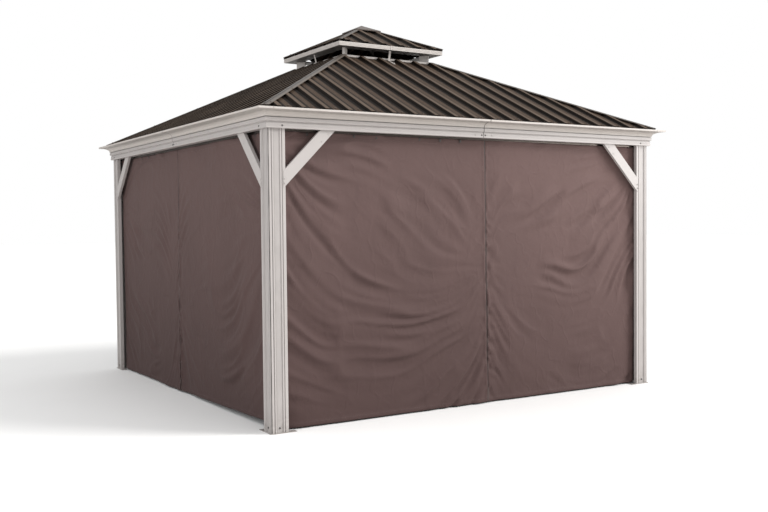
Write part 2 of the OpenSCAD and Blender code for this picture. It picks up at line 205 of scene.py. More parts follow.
class GazeboFixings(bpy.types.PropertyGroup):
    """Sizes of the screws and clips"""

    frame_screw: a_length(
        "Frame screw radius", "Radius of the domed screws in the posts, headers and braces",
        0.003, 0.010, 0.0068,
    )
    roof_screw: a_length(
        "Roof screw radius", "Radius of the hexagon heads on the roof", 0.003, 0.010, 0.0048
    )
    foot_height: a_length(
        "Foot screw height", "Height of the post's foot screws above the foot plate",
        0.015, 0.08, 0.031,
    )
    cap_spacing: a_length(
        "Hip cap screw spacing", "Distance between the screws along each side of a hip cap",
        0.1, 0.5, 0.26,
    )
    seed: IntProperty(name="Seed", description="Turns of the screw heads", min=0, default=7)


class GazeboCurtains(bpy.types.PropertyGroup):
    """How the curtains are cut, sewn and hung"""

    grid: a_length(
        "Simulation grid", "Distance between the points of the simulated cloth",
        0.015, 0.06, 0.030,
    )
    fine_grid: a_length(
        "Finished grid", "Distance between the points of the finished cloth",
        0.008, 0.03, 0.0155,
    )
    spare_width: FloatProperty(
        name="Spare width",
        description="Share by which a curtain is cut wider than the gap it hangs in",
        subtype="FACTOR", min=0, max=0.05, default=0.004,
    )
    spare_length: FloatProperty(
        name="Spare length", description="Share by which a curtain is cut longer than it hangs",
        subtype="FACTOR", min=0, max=0.05, default=0.003,
    )
    fold: a_length("Fold depth", "Depth of the folds that the cloth starts from", 0, 0.03, 0.023)
    fold_cap: a_length(
        "Deepest fold", "How far a fold may stand out of the curtain's plane",
        0.004, 0.03, 0.021,
    )
    pucker: a_length("Zip pucker", "Depth of the puckers beside the zips", 0, 0.03, 0.0154)
    hem: a_length("Hem", "Width of the turned hems", 0.01, 0.06, 0.030)
    cloth: a_length(
        "Cloth thickness", "Thickness of one layer of the cloth", 0.0005, 0.003, 0.0012
    )
    stitch: a_length("Stitch spacing", "Distance from stitch to stitch", 0.004, 0.02, 0.0085)
    tooth: a_length(
        "Tooth spacing", "Distance from tooth to tooth along a zip", 0.002, 0.01, 0.0042
    )
    glider: a_length(
        "Glider spacing", "Distance between the gliders that carry a curtain", 0.08, 0.4, 0.19
    )
    frames: IntProperty(
        name="Frames", description="Frames that the cloth is given to settle", min=5, max=120,
        default=28,
    )
    seed: IntProperty(name="Seed", description="Where the folds start", min=0, default=11)


class GazeboStage(bpy.types.PropertyGroup):
    """Camera, light and floor"""

    eye: FloatVectorProperty(
        name="Eye", description="Where the camera stands", subtype="TRANSLATION", unit="LENGTH",
        default=(-4.3042, -7.2694, 1.3655),
    )
    heading: FloatProperty(
        name="Heading", description="Turn of the view from straight ahead towards the right",
        subtype="ANGLE", default=math.radians(31.856),
    )
    tilt: FloatProperty(
        name="Tilt", description="Tilt of the view above the level", subtype="ANGLE",
        default=math.radians(-2.05),
    )
    roll: FloatProperty(
        name="Roll", description="Turn of the camera about its own line of sight", subtype="ANGLE",
        default=math.radians(-0.563),
    )
    lens: FloatProperty(
        name="Lens", description="Focal length on a 36 mm wide sensor", unit="CAMERA", min=10,
        max=200, default=44.4,
    )
    sky: FloatProperty(
        name="Sky", description="Strength of the white light from straight above", min=0, max=3,
        default=1.05,
    )
    sun: FloatProperty(
        name="Key light", description="Strength of the soft light from the far right", min=0,
        max=10, default=2.5,
    )
    near: FloatProperty(
        name="Near light", description="Power of the soft light close by on the right",
        unit="POWER", min=0, max=10000, default=190,
    )
    fill: FloatProperty(
        name="Fill light", description="Power of the weaker light from the left", unit="POWER",
        min=0, max=10000, default=230,
    )


# ---- Node trees ----


class Wire:
    """An output of a node, with the sums that a finish needs."""

    def __init__(self, kit, socket):
        self.kit, self.socket = kit, socket

    def maths(self, operation, *terms):
        return self.kit.node("ShaderNodeMath", {"operation": operation}, dict(enumerate(terms)))

    def __add__(self, other):
        return self.maths("ADD", self, other)

    __radd__ = __add__

    def __sub__(self, other):
        return self.maths("SUBTRACT", self, other)

    def __rsub__(self, other):
        return self.maths("SUBTRACT", other, self)

    def __mul__(self, other):
        return self.maths("MULTIPLY", self, other)

    __rmul__ = __mul__

    def __truediv__(self, other):
        return self.maths("DIVIDE", self, other)

    def __rtruediv__(self, other):
        return self.maths("DIVIDE", other, self)

    def __pow__(self, other):
        return self.maths("POWER", self, other)

    def __abs__(self):
        return self.maths("ABSOLUTE", self)

    def wave(self):
        return self.maths("SINE", self)

    def beyond(self, start, end):
        """Nought up to start and one from end on, with a soft step between."""
        return self.kit.node(
            "ShaderNodeMapRange",
            {"interpolation_type": "SMOOTHSTEP"},
            {"Value": self, "From Min": start, "From Max": end},
        )


class NodeKit:
    """Adds nodes to a tree: a type, its settings, and its sockets' values or wires."""

    tree = None

    def node(self, kind, settings=None, values=None, out=0):
        made = self.tree.nodes.new(kind)
        for key, value in (settings or {}).items():
            setattr(made, key, value)
        for key, value in (values or {}).items():
            if isinstance(value, Wire):
                self.tree.links.new(value.socket, made.inputs[key])
            else:
                made.inputs[key].default_value = value
        return Wire(self, made.outputs[out]) if len(made.outputs) else None


class Finish(NodeKit):
    """The nodes of one material, or of the world."""

    def __init__(self, owner):
        self.owner = owner
        owner.use_nodes = True
        self.tree = owner.node_tree
        self.tree.nodes.clear()

    def place(self):
        return self.node("ShaderNodeTexCoord", out="Object")

    def weave(self):
        return self.node("ShaderNodeUVMap", {"uv_map": "cloth"})

    def stretch(self, vector, x=1.0, y=1.0, z=1.0):
        return self.node(
            "ShaderNodeVectorMath",
            {"operation": "MULTIPLY"},
            {0: vector, 1: (x, y, z)},
        )

    def noise(self, vector, scale, detail=2.0, roughness=0.5):
        return self.node(
            "ShaderNodeTexNoise",
            {"noise_dimensions": "3D"},
            {"Vector": vector, "Scale": scale, "Detail": detail, "Roughness": roughness},
        )

    def axis(self, vector, which):
        return self.node("ShaderNodeSeparateXYZ", None, {0: vector}, out=which)

    def between(self, first, second, share):
        """A colour between two, or a multiple of the first."""
        return self.node(
            "ShaderNodeMix",
            {"data_type": "RGBA"},
            {0: share, 6: self.colour(first), 7: self.colour(second)},
            out=2,
        )

    def colour(self, value):
        return value if isinstance(value, Wire) else (*value[:3], 1.0)

    def bands(self, value, *rows):
        """The sum of soft-edged bands, each from start to end with its own strength."""
        return sum(
            (value.beyond(a - soft, a + soft) - value.beyond(b - soft, b + soft)) * strength
            for a, b, soft, strength in rows
        )

    def nearest_middle(self, place):
        """The lesser of the distances from the two middle planes of the plan."""
        across, along = abs(self.axis(place, "X")), abs(self.axis(place, "Y"))
        return across.maths("MINIMUM", across, along)

    def farthest_middle(self, place):
        """The greater of the distances from the two middle planes of the plan."""
        across, along = abs(self.axis(place, "X")), abs(self.axis(place, "Y"))
        return across.maths("MAXIMUM", across, along)

    def bump(self, height, distance, strength=1.0, under=None):
        values = {"Height": height, "Distance": distance, "Strength": strength}
        if under is not None:
            values["Normal"] = under
        return self.node("ShaderNodeBump", None, values)

    def surface(self, **sockets):
        """Ends the material in one shader, and returns the material."""
        values = {key.replace("_", " "): value for key, value in sockets.items()}
        values["Base Color"] = self.colour(values["Base Color"])
        shader = self.node("ShaderNodeBsdfPrincipled", None, values)
        self.node("ShaderNodeOutputMaterial", None, {"Surface": shader})
        return self.owner


class Pattern(NodeKit):
    """One geometry node tree, with named inputs."""

    def __init__(self, name):
        self.tree = bpy.data.node_groups.new(name, "GeometryNodeTree")
        face = self.tree.interface
        face.new_socket("Geometry", in_out="INPUT", socket_type="NodeSocketGeometry")
        face.new_socket("Geometry", in_out="OUTPUT", socket_type="NodeSocketGeometry")
        self.start = self.tree.nodes.new("NodeGroupInput")
        self.end = self.tree.nodes.new("NodeGroupOutput")
        self.geometry = Wire(self, self.start.outputs["Geometry"])

    def input(self, name, kind, default=None):
        item = self.tree.interface.new_socket(
            name, in_out="INPUT", socket_type="NodeSocket" + kind
        )
        if default is not None:
            item.default_value = default
        return Wire(self, self.start.outputs[name])

    def named(self, attribute):
        return self.node(
            "GeometryNodeInputNamedAttribute",
            {"data_type": "FLOAT_VECTOR"},
            {"Name": attribute},
        )

    def finish(self, geometry):
        """Realises the instances, sets the material and closes the tree."""
        real = self.node("GeometryNodeRealizeInstances", None, {"Geometry": geometry})
        painted = self.node(
            "GeometryNodeSetMaterial",
            None,
            {"Geometry": real, "Material": self.input("Material", "Material")},
        )
        self.tree.links.new(painted.socket, self.end.inputs["Geometry"])
        return self

    def grow(self, name, mesh, slot, **inputs):
        """Runs the tree on a mesh, and keeps the plain mesh that it makes as a piece."""
        source = bpy.data.objects.new(name, mesh)
        bpy.context.scene.collection.objects.link(source)
        modifier = source.modifiers.new("pattern", "NODES")
        modifier.node_group = self.tree
        for item in self.tree.interface.items_tree:
            if item.in_out == "INPUT" and item.name in inputs:
                modifier[item.identifier] = inputs[item.name]
        graph = bpy.context.evaluated_depsgraph_get()
        result = bpy.data.meshes.new_from_object(
            source.evaluated_get(graph), preserve_all_data_layers=True, depsgraph=graph
        )
        source.modifiers.remove(modifier)
        source.data = result
        result.name = name
        bpy.data.meshes.remove(mesh)
        if not len(result.polygons):
            raise RuntimeError(f"{name} came out empty")
        return belongs(source)


def heads_on_points():
    """A head on every point, standing along the point's axis and turned at random."""
    kit = Pattern("heads_on_points")
    head = kit.input("Head", "Object")
    size = kit.input("Size", "Float", 1.0)
    seed = kit.input("Seed", "Int", 0)
    shape = kit.node("GeometryNodeObjectInfo", None, {"Object": head}, out="Geometry")
    upright = kit.node(
        "FunctionNodeAlignRotationToVector", {"axis": "Z"}, {"Vector": kit.named("axis")}
    )
    turn = kit.node(
        "FunctionNodeRandomValue",
        {"data_type": "FLOAT"},
        {3: 2 * math.pi, "Seed": seed},
        out=1,
    )
    spin = kit.node("FunctionNodeAxisAngleToRotation", None, {"Axis": (0, 0, 1), "Angle": turn})
    both = kit.node(
        "FunctionNodeRotateRotation",
        {"rotation_space": "LOCAL"},
        {0: upright, 1: spin},
    )
    points = kit.node("GeometryNodeMeshToPoints", None, {"Mesh": kit.geometry})
    placed = kit.node(
        "GeometryNodeInstanceOnPoints",
        None,
        {"Points": points, "Instance": shape, "Rotation": both, "Scale": size},
    )
    return kit.finish(placed)


def beads_on_lines():
    """Beads at even steps along lines, lying along the line and facing its up side."""
    kit = Pattern("beads_on_lines")
    bead = kit.input("Bead", "Object")
    spacing = kit.input("Spacing", "Float", 0.01)
    shape = kit.node("GeometryNodeObjectInfo", None, {"Object": bead}, out="Geometry")
    line = kit.node("GeometryNodeMeshToCurve", None, {"Mesh": kit.geometry})
    even = kit.node(
        "GeometryNodeResampleCurve",
        {"mode": "LENGTH"},
        {"Curve": line, "Length": spacing},
    )
    along = kit.node(
        "FunctionNodeAlignRotationToVector",
        {"axis": "X"},
        {"Vector": kit.node("GeometryNodeInputTangent")},
    )
    facing = kit.node(
        "FunctionNodeAlignRotationToVector",
        {"axis": "Z", "pivot_axis": "X"},
        {"Rotation": along, "Vector": kit.named("up")},
    )
    placed = kit.node(
        "GeometryNodeInstanceOnPoints",
        None,
        {"Points": even, "Instance": shape, "Rotation": facing},
    )
    return kit.finish(placed)


def rods_on_lines():
    """A round rod along every line."""
    kit = Pattern("rods_on_lines")
    radius = kit.input("Radius", "Float", 0.002)
    sides = kit.input("Sides", "Int", 8)
    line = kit.node("GeometryNodeMeshToCurve", None, {"Mesh": kit.geometry})
    ring = kit.node(
        "GeometryNodeCurvePrimitiveCircle",
        {"mode": "RADIUS"},
        {"Resolution": sides, "Radius": radius},
    )
    rod = kit.node(
        "GeometryNodeCurveToMesh",
        None,
        {"Curve": line, "Profile Curve": ring, "Fill Caps": True},
    )
    smooth = kit.node("GeometryNodeSetShadeSmooth", None, {"Geometry": rod})
    return kit.finish(smooth)


# ---- Meshes ----


def belongs(piece, body="root"):
    """Files a finished piece under its moving body."""
    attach(piece, body)
    return piece


def plain_mesh(name, points, faces, edges=()):
    mesh = bpy.data.meshes.new(name)
    mesh.from_pydata(np.asarray(points, float).tolist(), list(edges), list(faces))
    mesh.update()
    return mesh


def add_piece(name, mesh, material):
    piece = bpy.data.objects.new(name, mesh)
    bpy.context.scene.collection.objects.link(piece)
    mesh.materials.append(material)
    return belongs(piece)


def spun(profile, sides, phase=0.0):
    """A closed shape spun about Z from (radius, height) pairs, bottom to top."""
    points, faces = [], []
    angles = [phase + 2 * math.pi * i / sides for i in range(sides)]
    for radius, height in profile:
        points += [(radius * math.cos(a), radius * math.sin(a), height) for a in angles]
    for ring in range(len(profile) - 1):
        a, b = ring * sides, (ring + 1) * sides
        for i in range(sides):
            j = (i + 1) % sides
            faces.append((a + i, a + j, b + j, b + i))
    last = (len(profile) - 1) * sides
    faces.append(tuple(reversed(range(sides))))
    faces.append(tuple(range(last, last + sides)))
    return points, faces


def joined(name, *shapes):
    """One mesh from several (points, faces) shapes."""
    points, faces = [], []
    for shape_points, shape_faces in shapes:
        start = len(points)
        points += [tuple(p) for p in shape_points]
        faces += [tuple(start + i for i in face) for face in shape_faces]
    return plain_mesh(name, points, faces)


def model_of(name, mesh, smooth=False):
    """An object that a pattern copies, kept out of the scene."""
    for face in mesh.polygons:
        face.use_smooth = smooth
    return bpy.data.objects.new(name, mesh)


def discard(*models):
    for model in models:
        mesh = model.data
        bpy.data.objects.remove(model)
        bpy.data.meshes.remove(mesh)


def points_mesh(places, axes):
    """Loose points, each with the direction that its fixing stands in."""
    mesh = plain_mesh("points", places, [])
    mesh.attributes.new("axis", "FLOAT_VECTOR", "POINT").data.foreach_set(
        "vector", np.asarray(axes, np.float32).ravel()
    )
    return mesh


def lines_mesh(lines, ups=None):
    """Open lines, each with the direction that its beads face."""
    points, edges, facing = [], [], []
    for i, line in enumerate(lines):
        start = len(points)
        points += [tuple(p) for p in line]
        edges += [(start + j, start + j + 1) for j in range(len(line) - 1)]
        if ups is not None:
            facing += [tuple(u) for u in np.broadcast_to(ups[i], (len(line), 3))]
    mesh = plain_mesh("lines", points, [], edges)
    if ups is not None:
        mesh.attributes.new("up", "FLOAT_VECTOR", "POINT").data.foreach_set(
            "vector", np.asarray(facing, np.float32).ravel()
        )
    return mesh


def bar(low, high, bevel=0.0):
    """A box with its long edges taken off."""
    (x0, y0, z0), (x1, y1, z1) = low, high
    b = bevel
    ring = [
        (x0 + b, y0), (x1 - b, y0), (x1, y0 + b), (x1, y1 - b),
        (x1 - b, y1), (x0 + b, y1), (x0, y1 - b), (x0, y0 + b),
    ]
    points = [(x, y, z) for z in (z0, z1) for x, y in ring]
    n = len(ring)
    faces = [(i, (i + 1) % n, n + (i + 1) % n, n + i) for i in range(n)]
    return points, faces + [tuple(reversed(range(n))), tuple(range(n, 2 * n))]


# ---- Finishes ----


def post_groove_shade(kit, place):
    """Painted shade in the grooves of a post's wings and in the notch of its corner."""
    return kit.bands(
        HALF - kit.nearest_middle(place),
        (-0.02, 0.0065, 0.0010, 0.62),
        (0.0205, 0.0265, 0.0010, 0.30),
        (0.0365, 0.0845, 0.0015, 0.13),
        (0.0365, 0.0420, 0.0015, 0.20),
        (0.0790, 0.0845, 0.0015, 0.04),
        (0.0945, 0.1005, 0.0010, 0.14),
    )


def step_shade_and_joint(kit, place):
    """Painted shade under the crown's lip and in the steps of the header, and a dark line at the
    middle joint.
    """
    return kit.bands(
        kit.axis(place, "Z"),
        (HEAD + 0.030, HEAD + 0.0365, 0.0015, 0.18),
        (HEADER_HIGH[2] - 0.005, HEADER_HIGH[2] + 0.002, 0.0015, 0.30),
        (LIP_TOP - 0.022, LIP_TOP - 0.0145, 0.003, 0.30),
    ) + kit.bands(kit.nearest_middle(place), (-0.01, 0.0035, 0.0010, 0.75))


def tray_shade(kit, place):
    """Painted shade on the underside of the cupola's tray."""
    under = 1 - kit.axis(place, "Z").beyond(FASCIA_LOW.z + 0.0035, FASCIA_LOW.z + 0.0045)
    inside = 1 - kit.farthest_middle(place).beyond(FASCIA_HIGH.x - 0.012, FASCIA_HIGH.x - 0.008)
    return under * inside * 0.85


def cap_shade(kit, place):
    """Painted shade along the middle of a hip cap, between its lighter edges."""
    away = abs(abs(kit.axis(place, "X")) - abs(kit.axis(place, "Y")))
    return (1 - away.beyond(0.012, 0.024)) * 0.8


def powder_coat(name, colour, grime_and_shade, foot, streaks, roughness, shade_and_joints):
    """Baked powder coat with orange peel, rain marks and a dusty foot.

    foot and streaks are the strengths of the dusty foot and of the rain marks, and
    shade_and_joints is a function that gives a mask of painted shade in grooves, steps,
    undersides and along hip caps, with dark joints, or None.
    """
    kit = Finish(bpy.data.materials.new(name))
    place = kit.place()
    height = kit.axis(place, "Z")
    cloudy = kit.noise(place, 3.1, 3.0)
    runs = kit.noise(kit.stretch(place, 46, 46, 1.6), 1.0, 3.0, 0.6)
    marks = runs.beyond(0.52, 0.78) * cloudy.beyond(0.36, 0.7) * streaks
    dusty = (1 - height.beyond(0.0, 0.16)) * kit.noise(place, 38, 3.0).beyond(0.3, 0.75)
    tone = kit.between(tinted(colour, 0.93), tinted(colour, 1.05), cloudy)
    painted = kit.between(tone, grime_and_shade, marks + dusty * foot)
    if shade_and_joints is not None:
        patchy = kit.noise(kit.stretch(place, 1, 1, 0.4), 24.0, 2.0).beyond(0.2, 0.7) * 0.5 + 0.6
        # Painted shade: near black where the mask falls, in grooves, steps and undersides, with
        # dark joints
        painted = kit.between(painted, tinted(grime_and_shade, 0.12), shade_and_joints(kit, place) * patchy)
    peel = kit.noise(place, 620, 2.0)
    ripple = kit.noise(kit.stretch(place, 1, 1, 0.35), 9.0, 1.0)
    normal = kit.bump(peel, 0.00012, 0.35, kit.bump(ripple, 0.0016, 0.25))
    return kit.surface(
        Base_Color=painted,
        Roughness=roughness + (cloudy - 0.5) * 0.12 + marks * 0.5 + dusty * foot * 0.3,
        Specular_IOR_Level=0.5, Coat_Weight=0.12, Coat_Roughness=0.3, Normal=normal,
    )


def roof_paint(name, colour, dust_and_painted_light, across):
    """Baked roof paint: pencil grooves, painted shade on the ribs' sides and beside their feet,
    painted highlight on the rib tops, and combed dust.
    """
    kit = Finish(bpy.data.materials.new(name))
    place = kit.place()
    side = kit.axis(place, across)

    def down_the_slope(fine, long):
        """Places drawn out down the slope, for marks that run that way."""
        return kit.stretch(place, *((fine, long, long) if across == "X" else (long, fine, long)))

    # Distance from the middle of the nearest pan between two ribs
    pan = kit.node("ShaderNodeMath", {"operation": "PINGPONG"}, {0: abs(side), 1: RIB_PITCH / 2})
    foot_at, top_at = (RIB_PITCH - RIB_FOOT) / 2, (RIB_PITCH - RIB_TOP) / 2
    groove = (1 - abs(pan - PENCIL_AT[0]).beyond(0.0012, 0.0035)) + (
        1 - abs(pan - PENCIL_AT[1]).beyond(0.0010, 0.0030)
    ) * 0.6
    comb = kit.noise(down_the_slope(150, 2.2), 1.0, 3.0, 0.6)
    cloudy = kit.noise(place, 2.6, 3.0, 0.6)
    speck = kit.noise(place, 240, 2.0)
    ragged = pan + (comb - 0.5) * 0.012
    # Painted highlight on the rib tops, drawn in the dust colour
    lit_rib_top = ragged.beyond(top_at - 0.003, top_at + 0.003)
    # Painted shade on the ribs' sides and on the pans beside their feet
    rib_shadow = ragged.beyond(foot_at - 0.040, foot_at - 0.026) * (1 - lit_rib_top)
    dust_and_rib_light = comb.beyond(0.34, 0.70) * (cloudy.beyond(0.25, 0.75) * 0.6 + 0.4)
    # Less dust in the painted shade, plus the painted highlight on the rib tops
    dust_and_rib_light = dust_and_rib_light * (1 - rib_shadow * 0.9) * 0.42 + lit_rib_top * 0.34
    tone = kit.between(tinted(colour, 0.82), tinted(colour, 1.15), cloudy)
    dusted_and_lit = kit.between(tone, dust_and_painted_light, dust_and_rib_light + speck.beyond(0.6, 0.8) * 0.06)
    # Painted shade in the pencil grooves
    groove_shaded = kit.between(dusted_and_lit, tinted(colour, 0.3), groove * 0.6)
    # The painted shade beside the ribs, near black
    rib_shadowed = kit.between(groove_shaded, tinted(colour, 0.08), rib_shadow * 0.96)
    peel = kit.noise(place, 480, 2.0)
    oil_can = kit.noise(down_the_slope(14, 1.3), 1.0, 1.0)
    normal = kit.bump(
        peel, 0.00012, 0.3, kit.bump(1 - groove, 0.0012, 0.8, kit.bump(oil_can, 0.003, 0.25))
    )
    return kit.surface(
        Base_Color=rib_shadowed, Roughness=0.56 + dust_and_rib_light * 0.3 + (cloudy - 0.5) * 0.1,
        Specular_IOR_Level=0.06, Normal=normal,
    )


def zinc_coat(name, colour, roughness, metallic):
    """Spangled zinc with dull patches."""
    kit = Finish(bpy.data.materials.new(name))
    place = kit.place()
    spangle = kit.node(
        "ShaderNodeTexVoronoi", {"feature": "F1"}, {"Vector": place, "Scale": 120.0}, out="Color"
    )
    grey = kit.node("ShaderNodeRGBToBW", None, {0: spangle})
    dull = kit.noise(place, 7.0, 4.0, 0.6)
    tone = kit.between(tinted(colour, 0.75), colour, grey * 0.6 + dull * 0.4)
    normal = kit.bump(grey, 0.0001, 0.2)
    return kit.surface(
        Base_Color=tone, Metallic=metallic + (dull - 0.5) * 0.2,
        Roughness=roughness + (grey - 0.5) * 0.14 + (dull - 0.5) * 0.2, Normal=normal,
    )


def drawn_aluminium(name, colour):
    """Extruded aluminium with fine lines along both plan directions."""
    kit = Finish(bpy.data.materials.new(name))
    place = kit.place()
    fine = kit.noise(kit.stretch(place, 4, 4, 900), 1.0, 2.0)
    dull = kit.noise(place, 5.0, 3.0)
    return kit.surface(
        Base_Color=kit.between(tinted(colour, 0.86), colour, dull), Metallic=1.0,
        Roughness=0.32 + (fine - 0.5) * 0.2 + (dull - 0.5) * 0.12,
        Normal=kit.bump(fine, 0.00006, 0.3),
    )


def curtain_cloth(name, colour):
    """Coated polyester: plain weave, uneven threads, soft creases, painted shade towards the foot
    and a lighter tone towards +X.
    """
    kit = Finish(bpy.data.materials.new(name))
    thread = kit.weave()
    place = kit.place()
    across, up = kit.axis(thread, "X"), kit.axis(thread, "Y")
    height = kit.axis(place, "Z")
    plain = (across * (2 * math.pi / 0.0017)).wave() * (up * (2 * math.pi / 0.0017)).wave()
    warp = kit.noise(kit.stretch(thread, 620, 9, 1), 1.0, 2.0)
    weft = kit.noise(kit.stretch(thread, 9, 620, 1), 1.0, 2.0)
    slub = warp * 0.5 + weft * 0.5
    faded = kit.noise(kit.stretch(thread, 1.0, 0.7, 1), 1.9, 4.0, 0.55)
    rubbed = kit.noise(kit.stretch(thread, 1.4, 0.35, 1), 9.0, 3.0, 0.6)
    crumple = kit.noise(thread, 11.0, 3.0, 0.55)
    crease = 1 - abs(kit.noise(kit.stretch(thread, 1, 0.8, 1), 4.2, 2.0, 0.5) - 0.5).beyond(
        0.0, 0.045
    )
    # Painted shade: darker towards the bottom
    foot_shade = (1 - height.beyond(-0.4, 2.1)) * 0.68
    # Lighter towards +X
    toward_plus_x = kit.axis(place, "X").beyond(-0.8, 1.7) * 0.40
    tone = kit.between(tinted(colour, 0.92), tinted(colour, 1.08), slub)
    patchy = kit.between(tone, tinted(colour, 1.26), faded.beyond(0.35, 0.75) * 0.34)
    worn = kit.between(patchy, tinted(colour, 0.72), rubbed.beyond(0.5, 0.8) * 0.3)
    lighter_to_plus_x = kit.between(worn, tinted(colour, 1.9), toward_plus_x)
    foot_shaded = kit.between(lighter_to_plus_x, tinted(colour, 0.38, 0.33, 0.33), foot_shade)
    normal = kit.bump(
        plain * 0.3 + slub * 0.6, 0.0004, 0.35,
        kit.bump(crumple, 0.0060, 0.6, kit.bump(crease, 0.0022, 0.5)),
    )
    return kit.surface(
        Base_Color=foot_shaded, Roughness=0.80 + (slub - 0.5) * 0.12 + (faded - 0.5) * 0.1,
        Specular_IOR_Level=0.18, Sheen_Weight=0.03, Sheen_Roughness=0.5, Normal=normal,
    )


def zip_tape(name, colour):
    """Herringbone tape."""
    kit = Finish(bpy.data.materials.new(name))
    place = kit.place()
    height = kit.axis(place, "Z")
    flat = kit.axis(place, "X") + kit.axis(place, "Y")
    bone = ((height + abs((flat * 160).wave()) * 0.004) * (2 * math.pi / 0.003)).wave()
    fluff = kit.noise(place, 300, 3.0)
    return kit.surface(
        Base_Color=kit.between(tinted(colour, 0.7), tinted(colour, 1.4), fluff),
        Roughness=0.78 + bone * 0.06, Sheen_Weight=0.1,
        Normal=kit.bump(bone * 0.5 + fluff, 0.0003, 0.5),
    )


def moulded_nylon(name, colour, roughness=0.38):
    """Moulded nylon with a faint flow texture and rubbed spots."""
    kit = Finish(bpy.data.materials.new(name))
    place = kit.place()
    grain = kit.noise(place, 700, 2.0)
    rubbed = kit.noise(place, 22, 3.0).beyond(0.5, 0.8)
    return kit.surface(
        Base_Color=kit.between(colour, tinted(colour, 2.2), rubbed * 0.3),
        Roughness=roughness + (grain - 0.5) * 0.1 + rubbed * 0.12,
        Normal=kit.bump(grain, 0.00005, 0.3),
    )


def spun_thread(name, colour):
    """Twisted sewing thread."""
    kit = Finish(bpy.data.materials.new(name))
    place = kit.place()
    twist = (
        (kit.axis(place, "X") + kit.axis(place, "Y") + kit.axis(place, "Z"))
        * (2 * math.pi / 0.0012)
    ).wave()
    return kit.surface(
        Base_Color=kit.between(colour, tinted(colour, 1.5), twist * 0.5 + 0.5),
        Roughness=0.62 + twist * 0.05, Sheen_Weight=0.2,
    )


def pale_floor(name):
    """Matt pale floor."""
    kit = Finish(bpy.data.materials.new(name))
    place = kit.place()
    mottle = kit.noise(place, 1.4, 3.0)
    grain = kit.noise(place, 90, 2.0)
    pale = kit.between((0.86, 0.86, 0.855), (0.90, 0.90, 0.895), mottle)
    seen = kit.node("ShaderNodeLightPath", out="Is Camera Ray")
    return kit.surface(
        Base_Color=kit.between((0.70, 0.68, 0.66), pale, seen),
        Roughness=0.85 + (grain - 0.5) * 0.1, Specular_IOR_Level=0.2,
    )


def soft_sky(name, strength):
    """A white sky that lights from above more than from the horizon."""
    kit = Finish(bpy.data.worlds.new(name))
    way = kit.axis(kit.node("ShaderNodeTexCoord", out="Generated"), "Z")
    dome = (way.beyond(-0.1, 0.9) * 0.6 + 0.4) * strength
    seen = kit.node("ShaderNodeLightPath", out="Is Camera Ray")
    glow = kit.node(
        "ShaderNodeBackground",
        None,
        {"Color": (1, 1, 1, 1), "Strength": dome * (1 - seen) + seen},
    )
    kit.node("ShaderNodeOutputWorld", None, {"Surface": glow})
    return kit.owner


PAINT = {}
# The finish of each node, by the first of these that its name starts with
NODE_PAINT = (
    ("post_", "post"), ("braces_", "frame"), ("crown_", "moulding"),
    ("header_splices", "zinc"), ("header_", "header"), ("foot_plates", "plate"),
    ("roof_", "roof"), ("cupola_roof_", "roof"), ("hip_caps", "cap"), ("apex_cap", "apex"),
    ("cupola_hip_caps", "cap"), ("cupola_fascia", "tray"), ("cupola_posts", "crown"),
    ("vent_ring", "crown"), ("curtain_rails", "rail"), ("curtain_", None), ("", "zinc"),
)


def paint(node, material):
    """Gives a node of the frame its finish."""
    mesh = NODES[node].data
    mesh.materials.clear()
    mesh.materials.append(material)


# ---- Curtains ----


# Where a zip runs at its foot and at its head: front and back, then left and right
ZIP_AT = (0.081, 0.061), (-0.118, -0.100)


def seam_at(quarters, z):
    """Where a side's zip runs, drifting a little as it goes down."""
    low, high = ZIP_AT[quarters % 2]
    z = np.asarray(z, float)
    wander = 0.0035 * lattice(z / 0.17, 0 * z, 70 + quarters) * np.clip((1.5 - z) / 0.6, 0.15, 1)
    return low + (high - low) * z / HEAD + wander


# Width of the zip's tape that shows between two curtains
TAPE_SHOWS = 0.011
# Widths of the hems at the zip, at the outer edge and at the top
ZIP_HEM, OUTER_HEM, TOP_HEM = 0.018, 0.026, 0.040
# How hard the cloth is pulled together beside a zip, by height
PULLED = (0.0, 0.12, 0.6, 1.15, 1.5, 1.95), (0.4, 0.9, 1.0, 0.95, 0.35, 0.25)
# Length of a pucker and how far it reaches from the zip
PUCKER_LENGTH, PUCKER_REACH = 0.034, 0.050
# The curtain whose lower outer corner is drawn up, and how far
LIFTED, LIFT = "curtain_left_front", 0.036
# Places along a seam where its line of stitches is read
SEAM_STEPS = 160
# How far a curtain's outer edge hangs in from its slab, by height
EDGE_IN = {
    "curtain_front_right": (
        (0.07, 0.040), (0.6, 0.018), (1.1, 0.004), (1.69, 0.020), (1.95, 0.012),
    ),
    "curtain_left_back": (
        (0.09, 0.060), (0.65, 0.064), (1.22, 0.043), (1.6, 0.036), (1.95, 0.042),
    ),
    "curtain_right_front": ((0.1, 0.006), (1.0, 0.014), (1.95, 0.010)),
    "curtain_back_right": ((0.1, 0.022), (1.1, 0.010), (1.95, 0.016)),
    "curtain_back_left": ((0.1, 0.014), (0.8, 0.026), (1.95, 0.014)),
}
EDGE_USUAL = ((0.1, 0.018), (1.0, 0.008), (1.95, 0.012))


def lattice(a, b, seed):
    """Smooth noise from -1 to 1 on a lattice with unit steps."""
    table = np.random.default_rng(seed).uniform(-1, 1, (97, 97))
    ia, ib = np.floor(a).astype(int), np.floor(b).astype(int)
    fa, fb = a - ia, b - ib
    fa, fb = fa**3 * (fa * (6 * fa - 15) + 10), fb**3 * (fb * (6 * fb - 15) + 10)

    def at(i, j):
        return table[i % 97, j % 97]

    low = at(ia, ib) * (1 - fa) + at(ia + 1, ib) * fa
    high = at(ia, ib + 1) * (1 - fa) + at(ia + 1, ib + 1) * fa
    return low * (1 - fb) + high * fb


